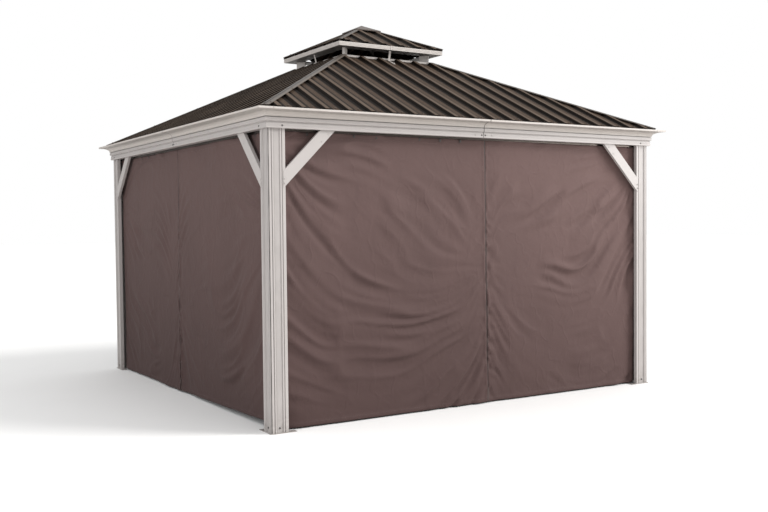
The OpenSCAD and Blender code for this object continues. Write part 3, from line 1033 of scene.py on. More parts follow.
def cubic(count, at):
    """Weights that read a row of count values at fractional places, smoothly."""
    weights = np.zeros((len(at), count))
    base = np.clip(np.floor(at).astype(int), 0, count - 2)
    t = at - base
    parts = (
        (-1, 0.5 * (-t + 2 * t**2 - t**3)),
        (0, 0.5 * (2 - 5 * t**2 + 3 * t**3)),
        (1, 0.5 * (t + 4 * t**2 - 3 * t**3)),
        (2, 0.5 * (-(t**2) + t**3)),
    )
    for offset, part in parts:
        np.add.at(weights, (np.arange(len(at)), np.clip(base + offset, 0, count - 1)), part)
    return weights


class Panel:
    """One curtain: where it hangs, and the folds that it starts from."""

    def __init__(self, node, quarters, end, pulls, number, settings):
        self.node, self.quarters, self.end, self.pulls = node, quarters, end, pulls
        self.seed = settings.seed * 100 + number * 7
        low, high = side_box(node, quarters)
        self.low, self.high = low, high
        self.plane = (low[1] + high[1]) / 2
        self.width, self.height = high[0] - low[0], high[2] - low[2]
        self.cut = (
            self.width * (1 + settings.spare_width), self.height * (1 + settings.spare_length),
        )
        self.settings = settings

    def hung(self, share, z):
        """Place along the side: share is 0 at the zip and 1 at the outer edge."""
        heights, insets = zip(*EDGE_IN.get(self.node, EDGE_USUAL))
        outer = (self.high[0] if self.end > 0 else self.low[0]) - self.end * np.interp(
            z, heights, insets
        )
        inner = seam_at(self.quarters, z) + self.end * TAPE_SHOWS / 2
        return inner + (outer - inner) * share

    def seam_depth(self, z):
        """The zip's own slow bends, the same for both curtains of a side."""
        seed = 900 + self.quarters
        return 0.0022 * lattice(z / 0.45, np.zeros_like(z), seed)

    def noise(self, a, b, number):
        """One of the curtain's own smooth noises."""
        return lattice(a, b, self.seed + number)

    def folds(self, share, z):
        """Swags that hang between the top outer corner and the middle of the zip."""
        x = share * self.width
        corner, knot = (self.width * 1.02, self.pulls[0]), (-0.03, self.pulls[1])
        to_corner = np.arctan2(corner[1] - z, corner[0] - x)
        to_knot = np.arctan2(knot[1] - z, knot[0] - x)
        opening = np.clip((to_knot - to_corner) % (2 * math.pi), 0.35, 2 * math.pi - 0.35)
        chord = math.hypot(corner[0] - knot[0], corner[1] - knot[1])
        # How far the arc through each place hangs from its chord, with a slow wander
        sag = chord / 2 / np.tan(opening / 2)
        sag = sag + 0.12 * self.noise(x / 0.5, z / 0.5, 4)
        # Broad ridges and finer folds across the arcs, strongest in the middle ones
        broad = self.noise(sag / 0.098 + 3, share * 3.4, 0)
        fine = self.noise(sag / 0.055 + 9, share * 5.0, 1)
        ridge = 0.5 - np.abs(broad) ** 0.8
        strong = 0.70 + 0.45 * np.exp(-(((sag - 0.42) / 0.42) ** 2))
        patch = np.clip(0.75 + 1.3 * self.noise(x / 0.36 + 2, z / 0.3, 5), 0.1, 1.5)
        # They fade out close to the corner and to the knot
        close = np.minimum(
            np.hypot(corner[0] - x, corner[1] - z) / 0.30,
            np.hypot(knot[0] - x, knot[1] - z) / 0.60,
        )
        wave = (1.45 * ridge + 0.5 * fine) * strong * patch * np.clip(close, 0, 1)
        # Slow swells, drapes in the lowest part and a frill along the outer edge
        swell = self.noise(z / 0.8 + 5, share * 1.6, 2)
        drape = self.noise(share * 6.0, z / 0.75, 3) * np.clip(1 - z / 0.9, 0, 1)
        frill = self.noise(z / 0.075, share * 16, 6)
        frill = frill * np.exp((share - 1) * self.width / 0.08)
        held = np.clip(share / 0.07, 0, 1) * np.clip((1 - share) / 0.025, 0, 1)
        return held * (wave + 0.7 * swell + 0.7 * drape + 0.6 * frill)

    def start(self, share, rise):
        """The hung start, in places of its own side: along, inwards and up."""
        z = self.low[2] + rise * self.height
        out = self.seam_depth(z) * np.clip(1 - share * 2, 0, 1)
        slack = self.settings.fold * CALM.get(self.quarters, 1.0)
        out = out + slack * self.folds(share, z)
        return np.stack([self.hung(share, z), self.plane - out, z], -1)


def start_shapes(panels, settings):
    """Grids of the hung start and of the creased cut, for the cloth to settle between."""
    grids = []
    for panel in panels:
        columns = int(round(panel.width / settings.grid)) + 1
        rows = int(round(panel.height / settings.grid)) + 1
        share, rise = np.meshgrid(np.linspace(0, 1, columns), np.linspace(0, 1, rows))
        start = panel.start(share, rise)
        cut = start * (1 + settings.spare_width, 1.0, 1 + settings.spare_length)
        grids.append((turned(start, panel.quarters), cut))
    return grids


def eased(field, passes):
    """A grid with its smallest ripples smoothed away."""
    for axis in (0, 1) * passes:
        before = np.concatenate([np.take(field, [0], axis), np.delete(field, -1, axis)], axis)
        after = np.concatenate([np.delete(field, 0, axis), np.take(field, [-1], axis)], axis)
        field = (before + 2 * field + after) / 4
    return field


def grid_quads(index):
    """The quads between the points of a grid of indices."""
    return np.stack(
        [index[:-1, :-1], index[:-1, 1:], index[1:, 1:], index[1:, :-1]], -1
    ).reshape(-1, 4)


def settle(grids, settings):
    """Lets all the curtains hang as one cloth simulation, and returns their moves."""
    points, cuts, faces, held, start = [], [], [], [], 0
    for hung, cut in grids:
        rows, columns = hung.shape[:2]
        index = start + np.arange(rows * columns).reshape(rows, columns)
        faces += grid_quads(index).tolist()
        held += index[-1, :].tolist() + index[:, 0].tolist() + index[:, -1].tolist()
        points.append(hung.reshape(-1, 3))
        cuts.append(cut.reshape(-1, 3))
        start += rows * columns
    mesh = plain_mesh("cloth_run", np.concatenate(points), faces)
    cloth = bpy.data.objects.new("cloth_run", mesh)
    scene = bpy.context.scene
    scene.collection.objects.link(cloth)
    cloth.shape_key_add(name="hung")
    rest = cloth.shape_key_add(name="cut")
    rest.data.foreach_set("co", np.concatenate(cuts).astype(np.float32).ravel())
    rest.value = 0.0
    group = cloth.vertex_groups.new(name="held")
    group.add(sorted(set(held)), 1.0, "REPLACE")
    modifier = cloth.modifiers.new("cloth", "CLOTH")
    rules = modifier.settings
    rules.quality = 5
    rules.mass = 0.25
    rules.air_damping = 4.0
    rules.tension_stiffness = rules.compression_stiffness = 22
    rules.shear_stiffness = 12
    rules.bending_stiffness = 3.0
    rules.tension_damping = rules.compression_damping = rules.shear_damping = 12
    rules.bending_damping = 2.0
    rules.vertex_group_mass = "held"
    rules.rest_shape_key = rest
    modifier.collision_settings.use_collision = False
    modifier.collision_settings.use_self_collision = False
    modifier.point_cache.frame_start = 1
    modifier.point_cache.frame_end = settings.frames
    for number in range(1, settings.frames + 1):
        scene.frame_set(number)
    settled = cloth.evaluated_get(bpy.context.evaluated_depsgraph_get()).to_mesh()
    places = np.zeros(len(settled.vertices) * 3)
    settled.vertices.foreach_get("co", places)
    bpy.data.objects.remove(cloth)
    bpy.data.meshes.remove(mesh)
    scene.frame_set(1)
    places, out, start = places.reshape(-1, 3), [], 0
    for hung, cut in grids:
        count = hung.shape[0] * hung.shape[1]
        moved = places[start : start + count].reshape(hung.shape) - hung
        out.append(eased(moved, 3))
        start += count
    return out


def cut_lines(length, step, marks):
    """Even places from 0 to length, with a close pair at each hem line."""
    even = np.linspace(0, length, int(round(length / step)) + 1)
    pairs = np.array([m + d for m in marks for d in (-0.0012, 0.0012)] + [0.0015, length - 0.0015])
    far = np.abs(even[:, None] - pairs[None, :]).min(1) > 0.005
    far[0] = far[-1] = True
    return np.sort(np.concatenate([even[far], pairs]))


def finished_cloth(panel, moves, settings):
    """The middle surface of a settled curtain on its finished grid, in side places."""
    moves = turned(moves, -panel.quarters)
    rows, columns = moves.shape[:2]
    step = settings.fine_grid
    share_at = cut_lines(panel.width, step, (ZIP_HEM, panel.width - OUTER_HEM)) / panel.width
    rise_at = cut_lines(panel.height, step, (settings.hem, panel.height - TOP_HEM)) / panel.height
    across = cubic(columns, share_at * (columns - 1))
    up = cubic(rows, rise_at * (rows - 1))
    share, rise = np.meshgrid(share_at, rise_at)
    base_z = panel.low[2] + rise * panel.height
    start = panel.start(share, rise)
    along, inwards, z = (start[..., i] + up @ moves[..., i] @ across.T for i in range(3))
    depth = panel.plane - inwards
    cap = settings.fold_cap
    depth = cap * np.tanh(depth / cap)
    # Puckers beside the zip, deeper where the curtains are pulled together
    away = share * panel.width
    slant = base_z + 0.55 * away
    beat = lattice(slant / PUCKER_LENGTH, away / PUCKER_REACH, panel.seed + 20)
    deeper = 1.25 if panel.end > 0 else 0.7
    rim = np.clip(away / 0.006, 0, 1) * np.exp(-away / PUCKER_REACH)
    pulled = np.interp(base_z, *PULLED) * deeper * rim
    depth = depth + settings.pucker * pulled * beat
    # A straight hem, with its sag spread over the lowest part of the cloth
    lift = LIFT * share_at if panel.node == LIFTED else 0.0
    sag = z[0] - panel.low[2] - lift
    z = z - sag[None, :] * np.clip(1 - (base_z - panel.low[2]) / 0.9, 0, 1) ** 1.5
    z = np.minimum(z, panel.high[2] - 0.0002)
    z[-1] = panel.high[2] - 0.0002
    return share, rise, along, depth, z


def thickness_of(panel, share, rise, settings):
    """One layer in the field and folded layers in the hems."""
    away = np.minimum(share * panel.width / ZIP_HEM, (1 - share) * panel.width / OUTER_HEM)
    up = rise * panel.height
    ends = np.minimum(up / settings.hem, (panel.height - up) / TOP_HEM)
    hemmed = np.minimum(away, ends) <= 1.0
    rim = np.minimum(np.minimum(share, 1 - share) * panel.width, np.minimum(up, panel.height - up))
    full = np.where(hemmed, settings.cloth * 2.6, settings.cloth)
    return np.where(rim < 0.0008, settings.cloth * 1.2, full)


def closed_cloth(panel, shape, settings):
    """A closed thin mesh round the middle surface, with its cut size as UV."""
    share, rise, along, depth, z = shape
    middle = np.stack([along, panel.plane - depth, z], -1)
    d_up = np.gradient(middle, axis=0)
    d_along = np.gradient(middle, axis=1)
    out = np.cross(d_along, d_up)
    out /= np.maximum(np.linalg.norm(out, axis=-1, keepdims=True), 1e-12)
    out *= np.where(out[..., 1:2] > 0, -1, 1)
    half = thickness_of(panel, share, rise, settings)[..., None] / 2
    skins = [turned(middle + out * side, panel.quarters) for side in (half, -half)]
    rows, columns = share.shape
    index = np.arange(rows * columns).reshape(rows, columns)
    quads = grid_quads(index)
    if panel.end < 0:
        quads = quads[:, ::-1]
    back = quads[:, ::-1] + rows * columns
    ring = np.concatenate([index[0, :], index[1:, -1], index[-1, -2::-1], index[-2:0:-1, 0]])
    after = np.roll(ring, -1)
    rim = np.stack([ring, ring + rows * columns, after + rows * columns, after], -1)
    if panel.end < 0:
        rim = rim[:, ::-1]
    points = np.concatenate([s.reshape(-1, 3) for s in skins])
    faces = np.concatenate([quads, back, rim])
    mesh = plain_mesh(panel.node + "_cloth", points, faces.tolist())
    for face in mesh.polygons:
        face.use_smooth = True
    spots = np.stack([share * panel.cut[0], rise * panel.cut[1]], -1).reshape(-1, 2)
    spots = np.concatenate([spots, spots]) + np.array([0.37 * panel.seed % 3.1, 0.0])
    corners = np.zeros(len(mesh.loops), np.int32)
    mesh.loops.foreach_get("vertex_index", corners)
    layer = mesh.uv_layers.new(name="cloth")
    layer.data.foreach_set("uv", spots[corners].astype(np.float32).ravel())
    return mesh, middle, out


def read_grid(field, share, rise, shape):
    """A field of the finished cloth read at one place's nearest grid lines."""
    columns = np.interp(share, shape[0][0], np.arange(shape[0].shape[1]))
    rows = np.interp(rise, shape[1][:, 0], np.arange(shape[1].shape[0]))
    i, j = np.floor(rows).astype(int), np.floor(columns).astype(int)
    i, j = np.minimum(i, field.shape[0] - 2), np.minimum(j, field.shape[1] - 2)
    a, b = (rows - i)[:, None], (columns - j)[:, None]
    return (
        field[i, j] * (1 - a) * (1 - b) + field[i + 1, j] * a * (1 - b)
        + field[i, j + 1] * (1 - a) * b
        + field[i + 1, j + 1] * a * b
    )


HUNG = []


# ---- Operators ----


class GAZEBO_OT_paint_frame(bpy.types.Operator):
    """Give every part of the frame its paint or metal"""

    bl_idname = "gazebo.paint_frame"
    bl_label = "Paint the frame"

    def execute(self, context):
        tint = context.scene.gazebo_finish
        plate = tinted(tint.frame, 0.82)
        for key, name, colour, dust_and_painted_light, *amounts in (
            ("frame", "frame_powder_coat", tint.frame, tint.grime_and_shade, 0.35, 0.10, 0.44, None),
            ("post", "post_powder_coat", tint.frame, tint.grime_and_shade, 0.35, 0.2, 0.44, post_groove_shade),
            ("crown", "crown_powder_coat", tint.crown, tint.grime_and_shade, 0, 0.16, 0.5, None),
            ("header", "header_powder_coat", tint.frame, tint.grime_and_shade, 0, 0.14, 0.44, step_shade_and_joint),
            ("moulding", "moulding_powder_coat", tint.crown, tint.grime_and_shade, 0, 0.2, 0.5, step_shade_and_joint),
            ("tray", "tray_powder_coat", tint.crown, tint.grime_and_shade, 0, 0.16, 0.5, tray_shade),
            ("plate", "plate_powder_coat", plate, tint.grime_and_shade, 0.6, 0.10, 0.44, None),
            ("cap", "hip_cap_paint", tint.caps, tint.roof_dust_and_painted_light, 0, 0.4, 0.5, cap_shade),
            ("apex", "apex_cap_paint", tint.roof, tint.roof_dust_and_painted_light, 0, 0.4, 0.42, None),
            ("roof_screw", "roof_screw_paint", tint.roof, tint.roof_dust_and_painted_light, 0, 0.10, 0.44, None),
        ):
            PAINT[key] = powder_coat(name, colour, dust_and_painted_light, *amounts)
        for key, name, across in (
            ("roof_x", "roof_paint_front_back", "X"), ("roof_y", "roof_paint_sides", "Y"),
        ):
            PAINT[key] = roof_paint(name, tint.roof, tint.roof_dust_and_painted_light, across)
        PAINT["zinc"] = zinc_coat("zinc_coat", tint.steel, 0.46, 0.75)
        # The screw heads are dark partly as their own dark zinc and partly as painted shade of the
        # recesses they sit in
        PAINT["screw"] = zinc_coat("screw_zinc_dark_as_shade", tinted(tint.steel, 0.45), 0.4, 0.85)
        PAINT["filler"] = moulded_nylon("filler_foam", tinted(tint.roof, 0.5), 0.8)
        # Painted shade: the dark rail colour stands for the shadow under the header
        PAINT["rail"] = drawn_aluminium("rail_aluminium", tint.rail_colour_dark_as_shade)
        for node in NODES:
            finish = next(finish for start, finish in NODE_PAINT if node.startswith(start))
            if finish == "roof":
                finish = "roof_x" if node.endswith(("front", "back")) else "roof_y"
            if finish:
                paint(node, PAINT[finish])
        return {"FINISHED"}


def domed_head():
    """A domed screw head of unit radius with a sunk socket."""
    profile = (
        (1.0, -0.05), (1.0, 0.16), (0.93, 0.36), (0.74, 0.54), (0.50, 0.62),
        (0.42, 0.60), (0.40, 0.24), (0.16, 0.20),
    )
    return joined("domed_head", spun(profile, 12))


def hexagon_head():
    """A hexagon head of unit radius on its washer and seal."""
    seal = ((1.42, -0.05), (1.42, 0.10), (1.34, 0.16))
    washer = ((1.55, 0.14), (1.58, 0.22), (1.20, 0.34))
    head = ((1.0, 0.30), (1.0, 0.86), (0.86, 0.98))
    return joined("hexagon_head", spun(seal, 12), spun(washer, 12), spun(head, 6))


def frame_screw_spots(foot_height):
    """Places of the front side's dark screws and of its painted ones, at both ends."""
    wing_edge, post_face = HALF - WING, -HALF
    header_face = HEADER_LOW[1] + 0.008
    dark = (
        (HALF - 0.060, post_face + 0.004, PLATE_TOP + foot_height),
        (HALF - 0.094, header_face, HEAD + 0.0165),
        (0.016, header_face, HEAD + 0.0175),
    )
    painted = (
        (0.075, header_face, HEAD + 0.0175),
        (wing_edge + 0.007, post_face - 0.002, HEAD - 0.322),
        (wing_edge + 0.007, post_face - 0.002, HEAD - 0.352),
        (wing_edge - 0.318, post_face, HEAD - 0.025),
        (wing_edge - 0.268, post_face, HEAD - 0.075),
    )
    return [[(end * x, y, z) for end in (-1, 1) for x, y, z in rows] for rows in (dark, painted)]


# How far a roof screw's washer stands off the sheet, and its distances from the eave,
# from the vent, from a hip, and from the cupola's eave
WASHER_UP = 0.0018
EAVE_SCREW, VENT_SCREW, HIP_CLEAR, CUPOLA_SCREW = 0.055, 0.035, 0.09, 0.04


def roof_screw_spots():
    """Places of the front slopes' screws: a row by the eave and one by the vent."""
    spots = []
    for half in (MAIN.edge_half - EAVE_SCREW, MAIN.top_half + VENT_SCREW):
        middle = int(half / RIB_PITCH)
        for i in range(-middle, middle + 1):
            if abs(i * RIB_PITCH) < half - HIP_CLEAR:
                spots.append(MAIN.at(i * RIB_PITCH, half, WASHER_UP))
    for i in (-2, -1, 1, 2):
        spots.append(UPPER.at(i * RIB_PITCH, UPPER.edge_half - CUPOLA_SCREW, WASHER_UP))
    return spots


# Distances of a hip cap's screws from the hip, on the main roof and on the cupola, and
# of the first from the eave and of the last from the top
CAP_LEAVES = (MAIN, 0.016), (UPPER, 0.012)
CAP_FOOT, CAP_HEAD, LEAST_TOP = 0.05, 0.06, 0.16


def cap_screw_spots(spacing):
    """Places of the screws along both sides of the front slopes' hips."""
    spots = []
    for slope, leaf in CAP_LEAVES:
        foot, top = slope.edge_half - CAP_FOOT, max(slope.top_half, LEAST_TOP) + CAP_HEAD
        for half in np.linspace(foot, top, int((foot - top) / spacing) + 1):
            for end in (-1, 1):
                across = end * (half - leaf * 1.414)
                spots.append(slope.at(across, half, slope.rib + WASHER_UP))
    return spots


class GAZEBO_OT_fit_screws(bpy.types.Operator):
    """Fit the screws of the posts, braces, headers, crown and roof"""

    bl_idname = "gazebo.fit_screws"
    bl_label = "Fit the screws"

    def execute(self, context):
        sizes = context.scene.gazebo_fixings
        heads = heads_on_points()
        domed = model_of("domed_head", domed_head(), True)
        hexagon = model_of("hexagon_head", hexagon_head())
        front = (0.0, -1.0, 0.0)
        dark, painted = frame_screw_spots(sizes.foot_height)
        roof, caps = roof_screw_spots(), cap_screw_spots(sizes.cap_spacing)
        for name, places, axis, head, radius, material, slot in (
            ("frame_screws", dark, front, domed, sizes.frame_screw, "screw", "plate_steel"),
            ("painted_screws", painted, front, domed, sizes.frame_screw, "frame", "frame_paint"),
            (
                "roof_screws", roof, MAIN.normal, hexagon, sizes.roof_screw,
                "roof_screw", "roof_sheet",
            ),
            ("hip_cap_screws", caps, MAIN.normal, hexagon, sizes.roof_screw, "cap", "roof_cap"),
        ):
            heads.grow(
                name, points_mesh(all_round(places), all_round([axis] * len(places))), slot,
                Head=head, Size=radius, Seed=sizes.seed, Material=PAINT[material],
            )
        discard(domed, hexagon)
        return {"FINISHED"}


class GAZEBO_OT_dress_roof(bpy.types.Operator):
    """Add the cupola's beads, joint covers and strap feet, and close the hips"""

    bl_idname = "gazebo.dress_roof"
    bl_label = "Dress the roof"

    def execute(self, context):
        out = FASCIA_HIGH.x
        low, high = FASCIA_LOW.z, FASCIA_HIGH.z
        lines = []
        for z in (low + (high - low) * 0.36, low + (high - low) * 0.68):
            corners = [(-out, -out, z), (out, -out, z), (out, out, z), (-out, out, z)]
            lines += [np.linspace(corners[i], corners[(i + 1) % 4], 9) for i in range(4)]
        rods_on_lines().grow(
            "cupola_beads",
            lines_mesh(lines),
            "crown_paint",
            Radius=0.0016, Sides=8, Material=PAINT["crown"],
        )
        shapes = []
        foot = MAIN.top_half + 0.010
        for k in range(4):
            for left, right in ((0.004, 0.021), (-0.021, -0.004)):
                points, faces = bar(
                    (left, -out - 0.0028, low - 0.001), (right, -out + 0.001, high + 0.001), 0.0008
                )
                shapes.append((turned(points, k), faces))
            tab, faces = bar((-0.009, 0.0, 0.0), (0.009, 0.0030, 0.090), 0.0008)
            laid = [MAIN.at(x, foot + z, 0.0022 + y) for x, y, z in tab]
            shapes.append((turned(laid, k), [tuple(reversed(face)) for face in faces]))
        add_piece("cupola_clips", joined("cupola_clips", *shapes), PAINT["crown"])
        fillers = []
        for slope in (MAIN, UPPER):
            ring = []
            for half in (slope.edge_half - 0.004, max(slope.top_half, 0.11) + 0.004):
                pan = slope.at(half, half)[2]
                for side, up in ((-1, -0.001), (1, -0.001), (1, HIP_GAP), (-1, HIP_GAP)):
                    ring.append((half - side * 0.0022, -half - side * 0.0022, pan + up))
            faces = [(0, 1, 2, 3), (7, 6, 5, 4)] + [
                (i, i + 4, (i + 1) % 4 + 4, (i + 1) % 4) for i in range(4)
            ]
            fillers += [(turned(ring, k), faces) for k in range(4)]
        add_piece("hip_fillers", joined("hip_fillers", *fillers), PAINT["filler"])
        hexagon = model_of("hexagon_head", hexagon_head())
        heads_on_points().grow(
            "clip_screws",
            points_mesh(all_round([MAIN.at(0, foot + 0.076, 0.005)]), all_round([MAIN.normal])),
            "crown_paint",
            Head=hexagon, Size=0.006, Seed=3, Material=PAINT["crown"],
        )
        discard(hexagon)
        return {"FINISHED"}


class GAZEBO_OT_hang_curtains(bpy.types.Operator):
    """Cut the eight curtains, let them settle as cloth and give them their hems"""

    bl_idname = "gazebo.hang_curtains"
    bl_label = "Hang the curtains"

    def execute(self, context):
        settings = context.scene.gazebo_curtains
        tint = context.scene.gazebo_finish
        PAINT["cloth"] = curtain_cloth("curtain_cloth", tint.cloth)
        panels = [Panel(*row, i, settings) for i, row in enumerate(PANELS)]
        grids = start_shapes(panels, settings)
        settled = settle(grids, settings)
        for panel, grid in zip(panels, settled):
            shape = finished_cloth(panel, grid, settings)
            mesh, middle, out = closed_cloth(panel, shape, settings)
            piece = add_piece(panel.node + "_cloth", mesh, PAINT["cloth"])
            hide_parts(panel.node)
            HUNG.append((panel, shape, middle, out))
        return {"FINISHED"}


# Places along a zip where its tape is drawn, and the tape's corners round its middle
TAPE_STEPS = 130
TAPE_RING = (-0.015, 0.0022, 0), (0.015, 0.0022, 0), (0.015, 0.0016, 0), (-0.015, 0.0016, 0)
# The slider's body, bridge and pull, each with its bevel
SLIDER = (
    ((-0.0075, -0.0038, -0.009), (0.0075, 0.0030, 0.009), 0.0016),
    ((-0.0025, -0.0062, -0.005), (0.0025, -0.0034, 0.006), 0.0008),
    ((-0.0042, -0.0058, -0.034), (0.0042, -0.0044, -0.003), 0.0006),
)


def stitch_bead():
    """One stitch: a low pointed ridge along X."""
    points = [
        (-0.0026, 0, 0.0), (-0.0015, -0.0005, 0), (-0.0015, 0, 0.0005), (-0.0015, 0.0005, 0),
        (0.0015, -0.0005, 0), (0.0015, 0, 0.0005), (0.0015, 0.0005, 0), (0.0026, 0, 0.0),
    ]
    faces = [
        (0, 1, 2), (0, 2, 3), (0, 3, 1), (1, 4, 5, 2), (2, 5, 6, 3), (1, 3, 6, 4),
        (7, 5, 4), (7, 6, 5), (7, 4, 6),
    ]
    return plain_mesh("stitch", points, faces)


def tooth_bead():
    """One zip tooth: a rounded bar across the zip."""
    points, faces = bar((-0.0013, -0.0034, -0.0011), (0.0013, 0.0034, 0.0011), 0.0006)
    return plain_mesh("tooth", points, faces)


class GAZEBO_OT_sew_curtains(bpy.types.Operator):
    """Sew the hems, and put in the zips with their tapes, teeth and sliders"""

    bl_idname = "gazebo.sew_curtains"
    bl_label = "Sew the curtains"

    def execute(self, context):
        settings = context.scene.gazebo_curtains
        tint = context.scene.gazebo_finish
        thread = spun_thread("hem_thread", tint.thread)
        tape = zip_tape("zip_tape", tint.zip)
        nylon = moulded_nylon("zip_nylon", tint.zip)
        beads = beads_on_lines()
        stitch = model_of("stitch", stitch_bead(), True)
        tooth = model_of("tooth", tooth_bead())
        for skin, way in (("outer", 1), ("inner", -1)):
            lines, ups = [], []
            for panel, shape, middle, out in HUNG:
                w, h = panel.width, panel.height
                runs = []
                along_seam = np.linspace(0.004, 0.996, SEAM_STEPS)
                for x in (0.0035 / w, (ZIP_HEM - 0.0035) / w, 1 - (OUTER_HEM - 0.004) / w):
                    runs.append((np.full(SEAM_STEPS, x), along_seam))
                for y in ((settings.hem - 0.004) / h, 1 - (TOP_HEM - 0.004) / h):
                    runs.append((along_seam, np.full(SEAM_STEPS, y)))
                for share, rise in runs:
                    place = read_grid(middle, share, rise, shape)
                    normal = read_grid(out, share, rise, shape)
                    normal /= np.linalg.norm(normal, axis=1, keepdims=True)
                    skin_half = settings.cloth * 1.3 - 0.0001
                    lines.append(turned(place + normal * way * skin_half, panel.quarters))
                    ups.append(turned(normal * way, panel.quarters))
            beads.grow(
                "stitches_" + skin,
                lines_mesh(lines, ups),
                "curtain_fabric",
                Bead=stitch, Spacing=settings.stitch, Material=thread,
            )
        tapes, teeth, ups, sliders = [], [], [], []
        for panel, shape, middle, out in HUNG[::2]:
            z = np.linspace(panel.low[2] + 0.004, panel.high[2] - 0.004, TAPE_STEPS)
            depth = panel.seam_depth(z)
            along = seam_at(panel.quarters, z)
            mid = np.stack([along, panel.plane - depth, z], -1)
            strip = mid[:, None, :] + np.array(TAPE_RING)
            index = np.arange(TAPE_STEPS * 4).reshape(TAPE_STEPS, 4)
            after = np.roll(index, -1, axis=1)
            quads = np.stack([index[:-1], after[:-1], after[1:], index[1:]], -1).reshape(-1, 4)
            faces = quads[:, ::-1].tolist() + [tuple(index[0]), tuple(index[-1][::-1])]
            tapes.append((turned(strip.reshape(-1, 3), panel.quarters), faces))
            teeth.append(turned(mid - [0, -0.0004, 0], panel.quarters))
            ups.append(turned([(0.0, -1.0, 0.0)], panel.quarters)[0])
            sliders.append((panel.quarters, mid[6]))
        add_piece("zip_tapes", joined("zip_tapes", *tapes), tape)
        beads.grow(
            "zip_teeth",
            lines_mesh(teeth, ups),
            "curtain_fabric",
            Bead=tooth, Spacing=settings.tooth, Material=nylon,
        )
        shapes = []
        for quarters, (x, y, z) in sliders:
            for low, high, bevel in SLIDER:
                points, faces = bar(low, high, bevel)
                shapes.append((turned(np.array(points) + (x, y, z), quarters), faces))
        add_piece("zip_sliders", joined("zip_sliders", *shapes), nylon)
        discard(stitch, tooth)
        return {"FINISHED"}


def glider_shape():
    """A runner in the rail, its neck through the slot, and a clip on the cloth."""
    return joined(
        "glider",
        spun(((0.0045, 0.0030), (0.0062, 0.0042), (0.0062, 0.0085), (0.0045, 0.0098)), 10),
        spun(((0.0020, -0.0050), (0.0020, 0.0040)), 8),
        bar((-0.0075, 0.0022, -0.024), (0.0075, 0.0046, -0.0020), 0.0010),
        bar((-0.0030, -0.0008, -0.0075), (0.0030, 0.0040, -0.0030), 0.0006),
    )


class GAZEBO_OT_fit_gliders(bpy.types.Operator):
    """Hang each curtain's top hem from gliders in the rail"""

    bl_idname = "gazebo.fit_gliders"
    bl_label = "Fit the gliders"

    def execute(self, context):
        settings = context.scene.gazebo_curtains
        nylon = moulded_nylon("glider_nylon", srgb(58, 54, 52), 0.45)
        shapes = []
        for panel, shape, middle, out in HUNG:
            count = int(panel.width / settings.glider) + 1
            for along in np.linspace(0.035, panel.width - 0.05, count) / panel.width:
                x = panel.hung(along, panel.high[2])
                model = glider_shape()
                points = np.array([v.co for v in model.vertices]) + (x, panel.plane, RAIL_FOOT)
                faces = [tuple(p.vertices) for p in model.polygons]
                bpy.data.meshes.remove(model)
                shapes.append((turned(points, panel.quarters), faces))
        add_piece("curtain_gliders", joined("curtain_gliders", *shapes), nylon)
        return {"FINISHED"}


# Half the floor's width, and the height that the lights point at
FLOOR_REACH = 60.0
AIM_HEIGHT = 1.2


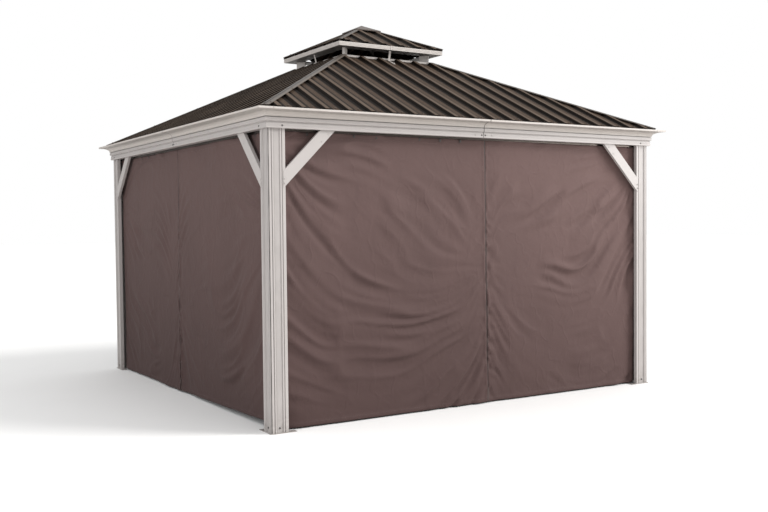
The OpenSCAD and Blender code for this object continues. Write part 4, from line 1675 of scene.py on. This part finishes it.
class GAZEBO_OT_set_stage(bpy.types.Operator):
    """Add the floor, the soft light and the camera"""

    bl_idname = "gazebo.set_stage"
    bl_label = "Set the stage"

    def execute(self, context):
        scene = context.scene
        stage = scene.gazebo_stage
        reach = FLOOR_REACH
        corners = [(-reach, -reach, 0), (reach, -reach, 0), (reach, reach, 0), (-reach, reach, 0)]
        mesh = plain_mesh("floor", corners, [(0, 1, 2, 3)])
        mesh.materials.append(pale_floor("pale_floor"))
        floor = bpy.data.objects.new("floor", mesh)
        scene.collection.objects.link(floor)

        scene.world = soft_sky("soft_sky", stage.sky)
        for name, kind, place, size, power, tint in (
            ("key", "SUN", (14.0, -10.0, 11.5), math.radians(24), stage.sun, (1.0, 0.985, 0.965)),
            ("near", "AREA", (6.5, -6.5, 2.6), 2.6, stage.near, (1.0, 0.98, 0.96)),
            ("fill", "AREA", (-9.5, -4.5, 3.4), 4.0, stage.fill, (0.985, 0.99, 1.0)),
        ):
            light = bpy.data.lights.new(name, kind)
            if kind == "SUN":
                light.angle = size
            else:
                light.shape, light.size = "DISK", size
            light.energy = power
            light.color = tint
            lamp = bpy.data.objects.new(name, light)
            turn = (Vector(place) - Vector((0, 0, AIM_HEIGHT))).to_track_quat("Z", "Y")
            lamp.matrix_world = Matrix.Translation(place) @ turn.to_matrix().to_4x4()
            scene.collection.objects.link(lamp)

        heading, tilt, roll = stage.heading, stage.tilt, stage.roll
        ahead = Vector(
            (
                math.sin(heading) * math.cos(tilt),
                math.cos(heading) * math.cos(tilt),
                math.sin(tilt),
            )
        )
        right = Vector((math.cos(heading), -math.sin(heading), 0))
        up = right.cross(ahead)
        right, up = (
            math.cos(roll) * right + math.sin(roll) * up,
            math.cos(roll) * up - math.sin(roll) * right,
        )
        lens = bpy.data.cameras.new("camera")
        lens.lens = stage.lens
        lens.sensor_width = 36
        lens.clip_start, lens.clip_end = 0.1, 200
        camera = bpy.data.objects.new("camera", lens)
        turn = Matrix((right, up, -ahead)).transposed()
        camera.matrix_world = Matrix.Translation(stage.eye) @ turn.to_4x4()
        scene.collection.objects.link(camera)
        scene.camera = camera
        scene.view_settings.view_transform = "Standard"
        return {"FINISHED"}


class GAZEBO_PT_gazebo(bpy.types.Panel):
    """The gazebo's pieces and settings"""

    bl_idname = "GAZEBO_PT_gazebo"
    bl_label = "Gazebo"
    bl_space_type = "VIEW_3D"
    bl_region_type = "UI"
    bl_category = "Gazebo"

    def draw(self, context):
        for operator in OPERATORS:
            self.layout.operator(operator.bl_idname)
        for label, settings in SETTINGS.items():
            group = getattr(context.scene, label)
            box = self.layout.box()
            box.label(text=settings.__doc__)
            for name in settings.__annotations__:
                box.prop(group, name)


SETTINGS = {
    "gazebo_finish": GazeboFinish,
    "gazebo_fixings": GazeboFixings,
    "gazebo_curtains": GazeboCurtains,
    "gazebo_stage": GazeboStage,
}
OPERATORS = (
    GAZEBO_OT_paint_frame, GAZEBO_OT_fit_screws, GAZEBO_OT_dress_roof, GAZEBO_OT_hang_curtains,
    GAZEBO_OT_sew_curtains, GAZEBO_OT_fit_gliders, GAZEBO_OT_set_stage,
)


def register():
    for part in (*SETTINGS.values(), *OPERATORS, GAZEBO_PT_gazebo):
        bpy.utils.register_class(part)
    for name, settings in SETTINGS.items():
        setattr(bpy.types.Scene, name, PointerProperty(type=settings))


def unregister():
    for name in SETTINGS:
        delattr(bpy.types.Scene, name)
    for part in reversed((*SETTINGS.values(), *OPERATORS, GAZEBO_PT_gazebo)):
        bpy.utils.unregister_class(part)


def main():
    register()
    bpy.ops.gazebo.paint_frame()
    bpy.ops.gazebo.fit_screws()
    bpy.ops.gazebo.dress_roof()
    bpy.ops.gazebo.hang_curtains()
    bpy.ops.gazebo.sew_curtains()
    bpy.ops.gazebo.fit_gliders()
    bpy.ops.gazebo.set_stage()


if __name__ == "__main__":
    main()
